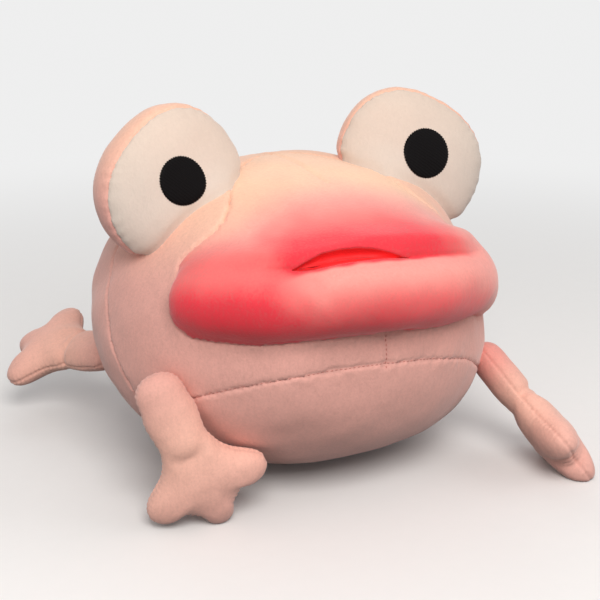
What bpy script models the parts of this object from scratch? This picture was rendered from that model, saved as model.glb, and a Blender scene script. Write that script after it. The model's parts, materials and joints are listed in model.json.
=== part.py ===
"""Plush frog: a round stuffed body with a big two-lip mouth, two sewn-on eyes and four floppy limbs.

Metres, +Z up, the face looks along -Y and the frog's left side is +X. The origin is on the table,
under the middle of the body. Every fabric cover is a shell of its own round a loose fibre filling.
"""
import math

import bmesh
import bpy
from mathutils import Matrix, Vector
from mathutils.bvhtree import BVHTree

# Cloth and clearances
SKIN = 0.0016
SEAM_GAP = 0.0006
CLEARANCE = 0.0004
FILLING_EASE = 0.0006
LIMB_FILLING_EASE = 0.0011
BOOLEAN_OVERRUN = 0.05
FLOOR_GAP = 0.0003
SNAP = 0.00001
POLE_SHARE = 0.999999
MIDDLE_SHARE = 0.000001
INWARD_SHARE = -1.0
OUTWARD_SHARE = 1.0
FLAT_ANGLE = math.radians(0.5)

# Body
BODY_HALF_WIDTH = 0.200
BODY_HALF_DEPTH = 0.193
BODY_HALF_HEIGHT = 0.152
REST_CUT = 0.0005
UPPER_FULLNESS = 2.05
LOWER_FULLNESS = 2.08
BROW_REACH = 0.040
BROW_LATITUDE = math.radians(50)
BROW_LATITUDE_SPREAD = math.radians(20)
BROW_AZIMUTH_SPREAD = math.radians(50)
BODY_SEGMENTS = 24
BODY_RINGS = 12

# Seams of the body cover
BELLY_SEAM_FRONT_HEIGHT = 0.151
BELLY_SEAM_SLOPE = math.radians(28)
SIDE_SEAM_HEIGHT = 0.190
SIDE_SEAM_LEAN = math.radians(30)
FACE_SEAM_FRONT_X = 0.162
FACE_SEAM_FRONT_Y = -0.083
FACE_SEAM_BACK_X = 0.058
FACE_SEAM_BACK_Y = -0.003
FOREHEAD_SEAM_HEIGHT = 0.215

# Lips and mouth
LIP_END_AZIMUTH = math.radians(60)
LIP_HEIGHT = 0.1815
LIP_RISE = 0.052
LIP_OVERHANG = 0.020
LIP_END_SINK = 0.020
LOWER_LIP_RADIUS = 0.040
LOWER_LIP_FORWARD = 0.002
LOWER_LIP_DROP = 0.012
UPPER_LIP_RADIUS = 0.028
UPPER_LIP_BACK = 0.006
UPPER_LIP_LIFT = 0.0115
LIP_TAPER_POWER = 5.0
NOTCH_DEPTH = 0.0065
NOTCH_TILT = math.radians(49)
NOTCH_TILT_FALL = math.radians(20)
NOTCH_SPREAD = math.radians(22)
NOTCH_AZIMUTH = math.radians(26)
NOTCH_FADE = math.radians(14)
LIP_STATIONS = 12
LIP_SEGMENTS = 12
MOUTH_AZIMUTH = math.radians(24)
MOUTH_HALF_GAP = 0.0075
MOUTH_DEPTH = 0.020
MOUTH_LINING = 0.0010
MOUTH_STATIONS = 6
MOUTH_SEGMENTS = 8

# Eyes
EYE_RADIUS = 0.075
EYE_FRONT_BULGE = 0.032
EYE_BACK_BULGE = 0.040
EYE_FRONT_FULLNESS = 2.2
EYE_BACK_FULLNESS = 2.7
EYE_AZIMUTH = math.radians(80)
EYE_LATITUDE = math.radians(53.5)
EYE_LIFT = 0.020
EYE_SETBACK = 0.003
EYE_LEAN_OUT = math.radians(32)
EYE_LOOK_UP = math.radians(13)
EYE_TURN_IN = math.radians(8)
EYE_ROCK = math.radians(6)
EYE_SEGMENTS = 16
EYE_RINGS = 6
PUPIL_RADIUS = 0.025
PUPIL_THICKNESS = 0.0012
PUPIL_SEGMENTS = 10
PUPIL_RINGS = 4

# Limbs
ROOT_RADIUS = 0.015
KNEE_RADIUS = 0.0155
THIGH_LENGTH = 0.050
THIGH_HALF_WIDTH = 0.024
THIGH_HALF_THICKNESS = 0.018
ANKLE_LENGTH = 0.043
ANKLE_HALF_WIDTH = 0.022
PALM_RADIUS = 0.033
FOOT_HALF_THICKNESS = 0.0175
MIDDLE_TOE_LENGTH = 0.048
SIDE_TOE_LENGTH = 0.058
TOE_RADIUS = 0.0155
SIDE_TOE_ANGLE = math.radians(70)
FOOT_FULLNESS = 2.3
THIGH_SEGMENTS = 8
THIGH_RINGS = 6
FOOT_RINGS = 6
LIMB_FILLING_RINGS = 4
KNEE_SEGMENTS = 16

# Half of the foot's outline as shares of a half turn, from the middle toe to the knee, closer
# together round the toes
FOOT_ANGLE_SHARES = (0.0, 0.08, 0.17, 0.28, 0.39, 0.50, 0.66, 0.83, 1.0)

# Where each limb is sewn on and how it lies, in degrees: the azimuth and latitude of its root on
# the body, the heading of the limb over the table, the roll of its flat side, the bend of its knee
# and its fall below level. Without a fall, a limb drops from its root until it touches the table.
LIMBS = {
    "front_right": dict(side=-1, azimuth=59, latitude=-7, heading=-45, roll=-64, knee=16),
    "front_left": dict(side=1, azimuth=55, latitude=-17, heading=25, roll=-38, knee=-2),
    "rear_right": dict(side=-1, azimuth=129, latitude=-22, heading=159, roll=28, knee=-3, fall=11),
    "rear_left": dict(side=1, azimuth=129, latitude=-22, heading=159, roll=28, knee=-3, fall=11),
}
STEEPEST_FALL = math.radians(85)
FALL_STEPS = 24
SEATING_STEPS = 12

# Finishes: colour, roughness, metallic
FINISHES = {
    "pink_plush": ((0.86, 0.56, 0.50), 0.92, 0.0),
    "lip_plush": ((0.86, 0.20, 0.24), 0.90, 0.0),
    "mouth_satin": ((0.80, 0.02, 0.03), 0.75, 0.0),
    "white_plush": ((0.88, 0.83, 0.79), 0.92, 0.0),
    "black_thread": ((0.01, 0.01, 0.01), 0.70, 0.0),
    "fibre": ((0.90, 0.90, 0.88), 1.0, 0.0),
}


def finish(name):
    """The material of one finish, made once."""
    found = bpy.data.materials.get(name)
    if found:
        return found
    colour, roughness, metallic = FINISHES[name]
    made = bpy.data.materials.new(name)
    made.use_nodes = True
    shader = made.node_tree.nodes["Principled BSDF"]
    shader.inputs["Base Color"].default_value = (*colour, 1.0)
    shader.inputs["Roughness"].default_value = roughness
    shader.inputs["Metallic"].default_value = metallic
    return made


def clear_scene():
    """Removes the objects of the startup scene."""
    for old in list(bpy.data.objects):
        bpy.data.objects.remove(old)


def collection(name):
    """A new collection in the scene."""
    made = bpy.data.collections.new(name)
    bpy.context.scene.collection.children.link(made)
    return made


def object_from(name, bm, group, finish_name):
    """Turns a bmesh into a smooth-shaded object of one finish."""
    mesh = bpy.data.meshes.new(name)
    bm.normal_update()
    bm.to_mesh(mesh)
    bm.free()
    mesh.shade_smooth()
    mesh.materials.append(finish(finish_name))
    made = bpy.data.objects.new(name, mesh)
    group.objects.link(made)
    return made


def apply_modifiers(obj):
    """Replaces the object's mesh by what its modifiers make of it."""
    graph = bpy.context.evaluated_depsgraph_get()
    made = bpy.data.meshes.new_from_object(obj.evaluated_get(graph))
    obj.modifiers.clear()
    obj.data = made
    return obj


def solidify(obj, thickness, side_share=INWARD_SHARE):
    """Gives an open surface its thickness, inwards unless told otherwise."""
    wall = obj.modifiers.new("wall", "SOLIDIFY")
    wall.thickness = thickness
    wall.offset = side_share
    return apply_modifiers(obj)


def combine(obj, tool, operation):
    """One Boolean between two closed objects, applied at once."""
    step = obj.modifiers.new(operation.lower(), "BOOLEAN")
    step.operation = operation
    step.object = tool
    step.solver = "EXACT"
    return apply_modifiers(obj)


def tool_from(name, bm, tools):
    """Turns a bmesh into a cutter, which isn't part of the frog."""
    made = object_from(name, bm, tools, "fibre")
    made.hide_render = True
    made.display_type = "WIRE"
    return made


def place_on(obj, pivot):
    """Parents an object to its pivot empty and moves its origin there. Its solid stays where it is."""
    obj.data.transform(pivot.matrix_world.inverted())
    obj.parent = pivot
    return obj


def pivot_at(name, matrix, group):
    """An empty at a joint, with its Y axis along the joint's axis."""
    made = bpy.data.objects.new(name, None)
    made.matrix_world = matrix
    group.objects.link(made)
    bpy.context.view_layer.update()
    return made


def super_round(value, power):
    """The other coordinate of a superellipse, from one between 0 and 1."""
    return max(0.0, 1.0 - abs(value) ** power) ** (1.0 / power)


def sphere(segments, rings):
    """A unit sphere of triangles. Forms made from like spheres nest, because their diagonals agree."""
    bm = bmesh.new()
    bmesh.ops.create_uvsphere(bm, u_segments=segments, v_segments=rings, radius=1.0)
    bmesh.ops.triangulate(bm, faces=bm.faces[:], quad_method="FIXED")
    return bm


def smooth_step(value, low, high):
    """0 below low, 1 above high, and a smooth rise between."""
    share = min(1.0, max(0.0, (value - low) / (high - low)))
    return share * share * (3.0 - 2.0 * share)


def bell(value, spread):
    """A smooth hump, 1 at the middle."""
    return math.exp(-((value / spread) ** 2))


# Body form


def body_centre_height():
    """Height of the body's middle, so that its base is cut flat by REST_CUT."""
    return BODY_HALF_HEIGHT - REST_CUT


def body_point(azimuth, latitude, inset=0.0):
    """A point of the body's surface: azimuth 0 is the face, latitude 90 degrees the crown."""
    rise = math.sin(latitude)
    fullness = UPPER_FULLNESS if rise >= 0.0 else LOWER_FULLNESS
    up = math.copysign(abs(rise) ** (2.0 / fullness), rise)
    out = super_round(up, fullness)
    brow = BROW_REACH * bell(latitude - BROW_LATITUDE, BROW_LATITUDE_SPREAD)
    brow *= bell(azimuth, BROW_AZIMUTH_SPREAD)
    return Vector((
        ((BODY_HALF_WIDTH - inset) * out + brow) * math.sin(azimuth),
        -((BODY_HALF_DEPTH - inset) * out + brow) * math.cos(azimuth),
        body_centre_height() + (BODY_HALF_HEIGHT - inset) * up,
    ))


def body_normal(azimuth, latitude):
    """The outward normal of the body's surface, from its neighbours."""
    step = math.radians(1)
    across = body_point(azimuth + step, latitude) - body_point(azimuth - step, latitude)
    along = body_point(azimuth, latitude + step) - body_point(azimuth, latitude - step)
    return across.cross(along).normalized()


def body_form(inset=0.0):
    """The closed body: a sphere whose points are moved onto the body's surface, with a flat base."""
    bm = sphere(BODY_SEGMENTS, BODY_RINGS)
    bmesh.ops.symmetrize(bm, input=bm.verts[:] + bm.edges[:] + bm.faces[:], direction="X", dist=SNAP)
    for vertex in bm.verts:
        unit = vertex.co.normalized()
        latitude = math.asin(max(-1.0, min(1.0, unit.z)))
        azimuth = math.atan2(unit.x, -unit.y)
        vertex.co = body_point(azimuth, latitude, inset)
    base = max(inset, 0.0)
    trim(bm, Vector((0.0, 0.0, base)), Vector((0.0, 0.0, 1.0)))
    rim = [edge for edge in bm.edges if edge.is_boundary]
    bmesh.ops.holes_fill(bm, edges=rim)
    bmesh.ops.recalc_face_normals(bm, faces=bm.faces[:])
    return bm


def trim(bm, point, normal):
    """Cuts away what lies behind a plane."""
    everything = bm.verts[:] + bm.edges[:] + bm.faces[:]
    bmesh.ops.bisect_plane(
        bm, geom=everything, dist=SNAP, plane_co=point, plane_no=normal, clear_inner=True
    )


# Seams of the body cover. Each is a plane, given by a point and a normal.


def belly_plane():
    """The seam under the chin. Its normal points away from the belly."""
    point = Vector((0.0, -BODY_HALF_DEPTH, BELLY_SEAM_FRONT_HEIGHT))
    return point, Vector((0.0, math.sin(BELLY_SEAM_SLOPE), math.cos(BELLY_SEAM_SLOPE)))


def side_plane():
    """The seam down each flank and over the head. Its normal points to the back."""
    point = Vector((0.0, 0.0, SIDE_SEAM_HEIGHT))
    return point, Vector((0.0, math.cos(SIDE_SEAM_LEAN), -math.sin(SIDE_SEAM_LEAN)))


def face_plane():
    """The seam from the left end of the lips to the left eye's inner corner. Its normal points out."""
    front = Vector((FACE_SEAM_FRONT_X, FACE_SEAM_FRONT_Y, 0.0))
    back = Vector((FACE_SEAM_BACK_X, FACE_SEAM_BACK_Y, 0.0))
    run = (front - back).normalized()
    return front, Vector((-run.y, run.x, 0.0))


def middle_plane():
    """The seam down the middle. Its normal points to the frog's left."""
    return Vector(), Vector((1.0, 0.0, 0.0))


def forehead_plane():
    """The seam across the face, behind the lips. Its normal points up."""
    return Vector((0.0, 0.0, FOREHEAD_SEAM_HEIGHT)), Vector((0.0, 0.0, 1.0))


# Each panel of the cover as the sides of the seams that it lies on. The cheek panel has two areas,
# sewn from one piece of cloth: the flank, and the chin under the lips.
BELLY_AREAS = [{belly_plane: -1}]
SIDED_PANEL_AREAS = {
    "head_top_panel": [{side_plane: -1, middle_plane: 1, face_plane: -1, forehead_plane: 1}],
    "cheek_panel": [
        {belly_plane: 1, side_plane: -1, middle_plane: 1, face_plane: 1},
        {belly_plane: 1, side_plane: -1, middle_plane: 1, forehead_plane: -1},
    ],
    "back_panel": [{belly_plane: 1, side_plane: 1, middle_plane: 1}],
}


def inside_area(point, area):
    """True if a point lies on the area's side of every seam, half the seam's gap away from it."""
    for plane, sign in area.items():
        origin, normal = plane()
        if sign * (point - origin).dot(normal) < SEAM_GAP / 2.0 - SNAP:
            return False
    return True


def panel(name, areas, group):
    """One panel of the body's cover, cut from the body's surface along its seams."""
    bm = body_form()
    cuts = {(plane, sign) for area in areas for plane, sign in area.items()}
    for plane, sign in sorted(cuts, key=lambda item: item[0].__name__):
        origin, normal = plane()
        everything = bm.verts[:] + bm.edges[:] + bm.faces[:]
        shifted = origin + normal * (sign * SEAM_GAP / 2.0)
        bmesh.ops.bisect_plane(bm, geom=everything, dist=SNAP, plane_co=shifted, plane_no=normal)
    others = [
        face for face in bm.faces
        if not any(inside_area(face.calc_center_median(), area) for area in areas)
    ]
    bmesh.ops.delete(bm, geom=others, context="FACES")
    bmesh.ops.dissolve_limit(bm, angle_limit=FLAT_ANGLE, verts=bm.verts[:], edges=bm.edges[:])
    bmesh.ops.dissolve_degenerate(bm, dist=SEAM_GAP, edges=bm.edges[:])
    return solidify(object_from(name, bm, group, "pink_plush"), SKIN)


def body_cover(group):
    """The seven sewn panels of the body's cover."""
    panel("belly_panel", BELLY_AREAS, group)
    for name, areas in SIDED_PANEL_AREAS.items():
        left = panel(f"{name}_left", areas, group)
        mirrored(left, f"{name}_right", group)


def body_filling(group):
    """The fibre that fills the body."""
    bm = body_form(SKIN + FILLING_EASE)
    return object_from("body_filling", bm, group, "fibre")


# Lips


def lip_taper(azimuth):
    """How far the lips have closed in towards their ends: 1 in the middle, 0 at the ends."""
    return super_round(min(1.0, abs(azimuth) / LIP_END_AZIMUTH), LIP_TAPER_POWER)


def lip_line(azimuth):
    """The middle of the lips' section at an azimuth, with the directions out and up there."""
    height = LIP_HEIGHT + LIP_RISE * math.cos(azimuth)
    up_share = (height - body_centre_height()) / BODY_HALF_HEIGHT
    around = super_round(up_share, UPPER_FULLNESS)
    out = Vector((math.sin(azimuth), -math.cos(azimuth), 0.0))
    surface = math.hypot(
        BODY_HALF_WIDTH * around * math.sin(azimuth), BODY_HALF_DEPTH * around * math.cos(azimuth)
    )
    proud = LIP_OVERHANG * math.cos(azimuth) ** 2 - LIP_END_SINK * math.sin(azimuth) ** 2
    middle = out * (surface + proud)
    return Vector((middle.x, middle.y, height)), out, Vector((0.0, 0.0, 1.0))


def circle_reach(angle, out, up, radius):
    """How far a ray from the section's middle runs inside one lip's round section."""
    along = out * math.cos(angle) + up * math.sin(angle)
    across = out * math.sin(angle) - up * math.cos(angle)
    if abs(across) >= radius:
        return 0.0
    return along + math.sqrt(radius**2 - across**2)


def notch_angle(azimuth):
    """The direction of the notch in the lips' section, which sinks towards the corners of the mouth."""
    return NOTCH_TILT - NOTCH_TILT_FALL * min(1.0, (azimuth / NOTCH_AZIMUTH) ** 2)


def lip_reach(angle, azimuth, inset=0.0):
    """Distance from the section's middle to the lips' surface: two round lips with a notch between."""
    upper = circle_reach(angle, -UPPER_LIP_BACK, UPPER_LIP_LIFT, UPPER_LIP_RADIUS)
    lower = circle_reach(angle, LOWER_LIP_FORWARD, -LOWER_LIP_DROP, LOWER_LIP_RADIUS)
    notch = NOTCH_DEPTH * bell(angle - notch_angle(azimuth), NOTCH_SPREAD)
    notch *= 1.0 - smooth_step(abs(azimuth), NOTCH_AZIMUTH, NOTCH_AZIMUTH + NOTCH_FADE)
    return max(upper, lower) * lip_taper(azimuth) - notch - inset


def lip_form(inset=0.0):
    """The closed form of both lips: a sausage bent round the face, with a notch along its front."""
    bm = sphere(LIP_SEGMENTS, LIP_STATIONS)
    for vertex in bm.verts:
        unit = vertex.co.normalized()
        azimuth = unit.z * (LIP_END_AZIMUTH - inset / BODY_HALF_WIDTH)
        middle, out, up = lip_line(azimuth)
        angle = notch_angle(azimuth) - math.atan2(unit.y, unit.x)
        at_end = abs(unit.z) > POLE_SHARE
        reach = 0.0 if at_end else max(lip_reach(angle, azimuth, inset), 0.0)
        vertex.co = middle + (out * math.cos(angle) + up * math.sin(angle)) * reach
    return bm


def mouth_form(grow=0.0):
    """The closed form of the mouth's pocket: a thin lens bent along the notch."""
    bm = sphere(MOUTH_SEGMENTS, MOUTH_STATIONS)
    for vertex in bm.verts:
        unit = vertex.co.normalized()
        azimuth = unit.z * (MOUTH_AZIMUTH + grow / BODY_HALF_DEPTH)
        middle, out, up = lip_line(azimuth)
        tilt = notch_angle(azimuth)
        tip = middle + (out * math.cos(tilt) + up * math.sin(tilt)) * lip_reach(tilt, azimuth)
        deep = out * (MOUTH_DEPTH + grow) * unit.x
        high = up * (MOUTH_HALF_GAP + grow) * unit.y
        vertex.co = tip + deep - high
    return bm


def lips(group, tools):
    """The lips' cover, the fibre in it and the red lining of the mouth."""
    body = tool_from("body_tool", body_form(-CLEARANCE), tools)
    inner = tool_from("lip_inner_tool", lip_form(SKIN), tools)
    outer = tool_from("lip_outer_tool", lip_form(), tools)
    pocket = tool_from("mouth_tool", mouth_form(CLEARANCE), tools)
    hollow = tool_from("mouth_hollow_tool", mouth_form(-MOUTH_LINING), tools)

    cover = object_from("lip_cover", lip_form(), group, "lip_plush")
    for tool in (inner, body, pocket):
        combine(cover, tool, "DIFFERENCE")
    filling = object_from("lip_filling", lip_form(SKIN + CLEARANCE), group, "fibre")
    for tool in (body, pocket):
        combine(filling, tool, "DIFFERENCE")
    lining = object_from("mouth_lining", mouth_form(), group, "mouth_satin")
    combine(lining, hollow, "DIFFERENCE")
    combine(lining, outer, "INTERSECT")


# Eyes


def eye_frame():
    """The left eye's frame, in its middle: Z looks forwards, Y up the eye, X along its base seam."""
    turn = Matrix.Rotation(-EYE_TURN_IN, 4, "Z")
    look = Matrix.Rotation(-EYE_LOOK_UP, 4, "X")
    lean = Matrix.Rotation(EYE_LEAN_OUT, 4, "Y")
    upright = Matrix.Rotation(math.radians(90), 4, "X")
    turned = turn @ look @ lean @ upright
    site = body_point(EYE_AZIMUTH, EYE_LATITUDE)
    return Matrix.Translation(site) @ turned @ Matrix.Translation((0.0, EYE_LIFT, -EYE_SETBACK))


def eye_hinge():
    """The left eye's hinge frame, on its base seam: the seam runs along Y."""
    site = eye_frame() @ Matrix.Translation((0.0, -EYE_LIFT, EYE_SETBACK))
    return site @ Matrix.Rotation(math.radians(-90), 4, "Z")


def eye_form(inset=0.0):
    """The closed form of an eye, in its own frame."""
    bm = sphere(EYE_SEGMENTS, EYE_RINGS)
    for vertex in bm.verts:
        flat = Vector((vertex.co.x, vertex.co.y, 0.0))
        share = min(1.0, flat.length)
        if vertex.co.z >= 0.0:
            height = (EYE_FRONT_BULGE - inset) * super_round(share, EYE_FRONT_FULLNESS)
        else:
            height = -(EYE_BACK_BULGE - inset) * super_round(share, EYE_BACK_FULLNESS)
        vertex.co = flat * (EYE_RADIUS - inset) + Vector((0.0, 0.0, height))
    return bm


def half_cover(name, bm, sign, group, finish_name):
    """A cover over the half of a form above or below its own XY plane, flush along the seam's gap."""
    away = [f for f in bm.faces if f.calc_center_median().z * sign < 0.0]
    bmesh.ops.delete(bm, geom=away, context="FACES")
    for vertex in bm.verts:
        vertex.co.z += sign * SEAM_GAP / 2.0
    made = solidify(object_from(name, bm, group, finish_name), SKIN)
    for vertex in made.data.vertices:
        vertex.co.z = sign * max(sign * vertex.co.z, SEAM_GAP / 2.0)
    return made


def pupil_form():
    """The pupil's disc, bent to the front dome."""
    bm = sphere(PUPIL_SEGMENTS, PUPIL_RINGS)
    below = [f for f in bm.faces if f.calc_center_median().z < 0.0]
    bmesh.ops.delete(bm, geom=below, context="FACES")
    for vertex in bm.verts:
        flat = Vector((vertex.co.x, vertex.co.y, 0.0))
        share = math.asin(min(1.0, flat.length)) / math.radians(90)
        radius = share * PUPIL_RADIUS
        dome = EYE_FRONT_BULGE * super_round(radius / EYE_RADIUS, EYE_FRONT_FULLNESS)
        height = dome + SEAM_GAP / 2.0 + CLEARANCE
        vertex.co = flat.normalized() * radius + Vector((0.0, 0.0, height))
    return bm


def eye_seat_tools(tools):
    """The body as the eye meets it while it rocks: at rest and at both ends of its travel."""
    hinge = eye_hinge()
    made = []
    for step in (-1, 0, 1):
        tool = tool_from(f"eye_seat_tool_{step}", body_form(-CLEARANCE), tools)
        turn = hinge @ Matrix.Rotation(step * EYE_ROCK, 4, "Y") @ hinge.inverted()
        tool.data.transform(turn)
        made.append(tool)
    return made


def eyes(group, tools):
    """Both eyes, each a white front, a pink back, its filling and an embroidered pupil."""
    seats = eye_seat_tools(tools)
    frame = eye_frame()
    left = []
    front = half_cover("eye_front_left", eye_form(), 1, group, "white_plush")
    back = half_cover("eye_back_left", eye_form(), -1, group, "pink_plush")
    filling = object_from("eye_filling_left", eye_form(SKIN + FILLING_EASE), group, "fibre")
    for piece in (front, back, filling):
        piece.data.transform(frame)
        for seat in seats:
            combine(piece, seat, "DIFFERENCE")
        left.append(piece)
    patch = object_from("pupil_left", pupil_form(), group, "black_thread")
    pupil = solidify(patch, PUPIL_THICKNESS, OUTWARD_SHARE)
    pupil.data.transform(frame)
    left.append(pupil)

    hinge = pivot_at("eye_pivot_left", eye_hinge(), group)
    mirror = Matrix.Scale(-1.0, 4, (1.0, 0.0, 0.0))
    mirrored_hinge = mirror @ eye_hinge() @ Matrix.Scale(-1.0, 4, (1.0, 0.0, 0.0))
    other = pivot_at("eye_pivot_right", mirrored_hinge, group)
    for piece in left:
        twin = mirrored(piece, piece.name.replace("left", "right"), group)
        place_on(piece, hinge)
        place_on(twin, other)


def mirrored(piece, name, group):
    """A copy of a piece on the frog's other side."""
    mesh = piece.data.copy()
    mesh.transform(Matrix.Scale(-1.0, 4, (1.0, 0.0, 0.0)))
    mesh.flip_normals()
    mesh.shade_smooth()
    twin = bpy.data.objects.new(name, mesh)
    group.objects.link(twin)
    return twin


# Limbs


def thigh_form(inset=0.0, rings=THIGH_RINGS):
    """The upper limb along +X, from the root axis at 0 to the knee axis, both ends round."""
    bm = sphere(THIGH_SEGMENTS, rings)
    sections = {
        -1: (0.0, ROOT_RADIUS, ANKLE_HALF_WIDTH, ROOT_RADIUS),
        0: (THIGH_LENGTH / 2.0, 0.0, THIGH_HALF_WIDTH, THIGH_HALF_THICKNESS),
        1: (THIGH_LENGTH, KNEE_RADIUS, ANKLE_HALF_WIDTH, KNEE_RADIUS),
    }
    for vertex in bm.verts:
        along = vertex.co.z
        end = 0 if abs(along) < MIDDLE_SHARE else int(math.copysign(1, along))
        start, reach, wide, thick = sections[end]
        vertex.co = Vector((
            start + (reach - inset) * along,
            (wide - inset) * vertex.co.x,
            (thick - inset) * vertex.co.y,
        ))
    return bm


def toe_reach(angle, toe_angle, length):
    """How far a ray from the palm runs inside one toe's round tip."""
    off = (angle - toe_angle + math.pi) % (2.0 * math.pi) - math.pi
    middle = length - TOE_RADIUS
    across = middle * math.sin(off)
    if abs(off) > math.radians(90) or abs(across) >= TOE_RADIUS:
        return 0.0
    return middle * math.cos(off) + math.sqrt(TOE_RADIUS**2 - across**2)


def foot_outline(angle):
    """Distance from the palm's middle to the foot's edge: angle 0 is the middle toe, pi the knee."""
    reaches = [
        toe_reach(angle, 0.0, MIDDLE_TOE_LENGTH),
        toe_reach(angle, SIDE_TOE_ANGLE, SIDE_TOE_LENGTH),
        toe_reach(angle, -SIDE_TOE_ANGLE, SIDE_TOE_LENGTH),
    ]
    side = math.hypot(ANKLE_LENGTH, ANKLE_HALF_WIDTH)
    if math.cos(angle) < -ANKLE_LENGTH / side:
        reaches.append(-ANKLE_LENGTH / math.cos(angle))
    elif math.cos(angle) < 0.0:
        reaches.append(min(side, ANKLE_HALF_WIDTH / abs(math.sin(angle))))
    return max(PALM_RADIUS if math.cos(angle) > 0.0 else 0.0, *reaches)


def foot_angle(turn):
    """The direction of an outline point, from its even share of a turn between -1 and 1."""
    steps = len(FOOT_ANGLE_SHARES) - 1
    place = min(abs(turn) * steps, steps)
    below = min(int(place), steps - 1)
    low, high = FOOT_ANGLE_SHARES[below], FOOT_ANGLE_SHARES[below + 1]
    return math.copysign(math.pi * (low + (high - low) * (place - below)), turn)


def foot_form(inset=0.0, rings=FOOT_RINGS):
    """The foot in the XY plane, three toes and the ankle, its palm ANKLE_LENGTH past the knee."""
    bm = sphere(2 * (len(FOOT_ANGLE_SHARES) - 1), rings)
    for vertex in bm.verts:
        share = min(1.0, math.hypot(vertex.co.x, vertex.co.y))
        angle = foot_angle(math.atan2(vertex.co.y, vertex.co.x) / math.pi)
        reach = (foot_outline(angle) - inset) * share
        height = math.copysign(FOOT_HALF_THICKNESS - inset, vertex.co.z)
        vertex.co = Vector((
            THIGH_LENGTH + ANKLE_LENGTH + reach * math.cos(angle),
            reach * math.sin(angle),
            height * super_round(share, FOOT_FULLNESS),
        ))
    return bm


def knee_tool(name, tools):
    """The round seat that the foot turns in at the knee."""
    bm = bmesh.new()
    bmesh.ops.create_cone(
        bm,
        cap_ends=True,
        segments=KNEE_SEGMENTS,
        radius1=KNEE_RADIUS + SEAM_GAP + CLEARANCE,
        radius2=KNEE_RADIUS + SEAM_GAP + CLEARANCE,
        depth=2.0 * (ANKLE_HALF_WIDTH + BOOLEAN_OVERRUN),
    )
    turn = Matrix.Rotation(math.radians(90), 4, "X")
    place = Matrix.Translation((THIGH_LENGTH, 0.0, 0.0)) @ turn
    bmesh.ops.transform(bm, matrix=place, verts=bm.verts[:])
    return tool_from(name, bm, tools)


def limb_frame(lie, fall, stand_off):
    """The limb's frame at its root hinge: X runs down the limb, Y is the hinge and Z its flat side."""
    azimuth, latitude = lie["side"] * math.radians(lie["azimuth"]), math.radians(lie["latitude"])
    site = body_point(azimuth, latitude)
    normal = body_normal(azimuth, latitude)
    heading = lie["side"] * math.radians(lie["heading"])
    roll = lie["side"] * math.radians(lie["roll"])
    along = Vector((
        math.sin(heading) * math.cos(fall),
        -math.cos(heading) * math.cos(fall),
        -math.sin(fall),
    ))
    flat = Matrix.Rotation(roll, 3, along) @ (Vector((0.0, 0.0, 1.0)) - along * along.z).normalized()
    across = flat.cross(along)
    turned = Matrix((along, across, flat)).transposed().to_4x4()
    return Matrix.Translation(site + normal * stand_off) @ turned


def knee_frame(lie, root):
    """The foot's frame: the root frame carried to the knee and bent there, about Y."""
    shift = Matrix.Translation((THIGH_LENGTH, 0.0, 0.0))
    return root @ shift @ Matrix.Rotation(math.radians(lie["knee"]), 4, "Y") @ shift.inverted()


def lowest(matrix, bm):
    """Height of a form's lowest point under a matrix."""
    return min((matrix @ vertex.co).z for vertex in bm.verts)


def settle(lie, stand_off):
    """The two frames of a limb, at the fall that it is given or where it just clears the table."""
    if "fall" in lie:
        root = limb_frame(lie, math.radians(lie["fall"]), stand_off)
        return root, knee_frame(lie, root)
    thigh, foot = thigh_form(), foot_form()
    low, high = 0.0, STEEPEST_FALL
    for _ in range(FALL_STEPS):
        fall = (low + high) / 2.0
        root = limb_frame(lie, fall, stand_off)
        knee = knee_frame(lie, root)
        if min(lowest(root, thigh), lowest(knee, foot)) > FLOOR_GAP:
            low = fall
        else:
            high = fall
    thigh.free()
    foot.free()
    root = limb_frame(lie, low, stand_off)
    return root, knee_frame(lie, root)


def meets_body(frames, body_tree):
    """True if a limb's thigh or foot, grown by its clearance, reaches into the body."""
    grown = -(CLEARANCE + SEAM_GAP / 2.0)
    for form, frame in zip((thigh_form(grown), foot_form(grown)), frames):
        form.transform(frame)
        met = BVHTree.FromBMesh(form).overlap(body_tree)
        form.free()
        if met:
            return True
    return False


def seated(lie):
    """The two frames of a limb that is sewn on as close to the body as it can lie."""
    body = body_form()
    body_tree = BVHTree.FromBMesh(body)
    body.free()
    near, far = 0.0, ROOT_RADIUS + THIGH_LENGTH
    for _ in range(SEATING_STEPS):
        stand_off = (near + far) / 2.0
        if meets_body(settle(lie, stand_off), body_tree):
            near = stand_off
        else:
            far = stand_off
    return settle(lie, far)


def limb(name, group, seat):
    """One limb: a thigh and a foot that bends at the knee, each of two skins and a filling."""
    root, knee = seated(LIMBS[name])
    root_pivot = pivot_at(f"{name}_root_pivot", root, group)
    bend = knee @ Matrix.Translation((THIGH_LENGTH, 0.0, 0.0))
    knee_pivot = pivot_at(f"{name}_knee_pivot", bend, group)
    for link, form, frame, pivot in (
        ("thigh", thigh_form, root, root_pivot),
        ("foot", foot_form, knee, knee_pivot),
    ):
        pieces = []
        for face, sign in (("outer", 1), ("inner", -1)):
            skin_name = f"{name}_{link}_{face}_skin"
            pieces.append(half_cover(skin_name, form(), sign, group, "pink_plush"))
        inner = form(SKIN + LIMB_FILLING_EASE, LIMB_FILLING_RINGS)
        pieces.append(object_from(f"{name}_{link}_filling", inner, group, "fibre"))
        for piece in pieces:
            if link == "foot":
                combine(piece, seat, "DIFFERENCE")
            piece.data.transform(frame)
            place_on(piece, pivot)


def main():
    """Builds the frog."""
    clear_scene()
    frog = collection("plush_frog")
    tools = collection("tools")
    body_cover(frog)
    body_filling(frog)
    lips(frog, tools)
    eyes(frog, tools)
    seat = knee_tool("knee_tool", tools)
    for name in LIMBS:
        limb(name, frog, seat)


main()
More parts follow.
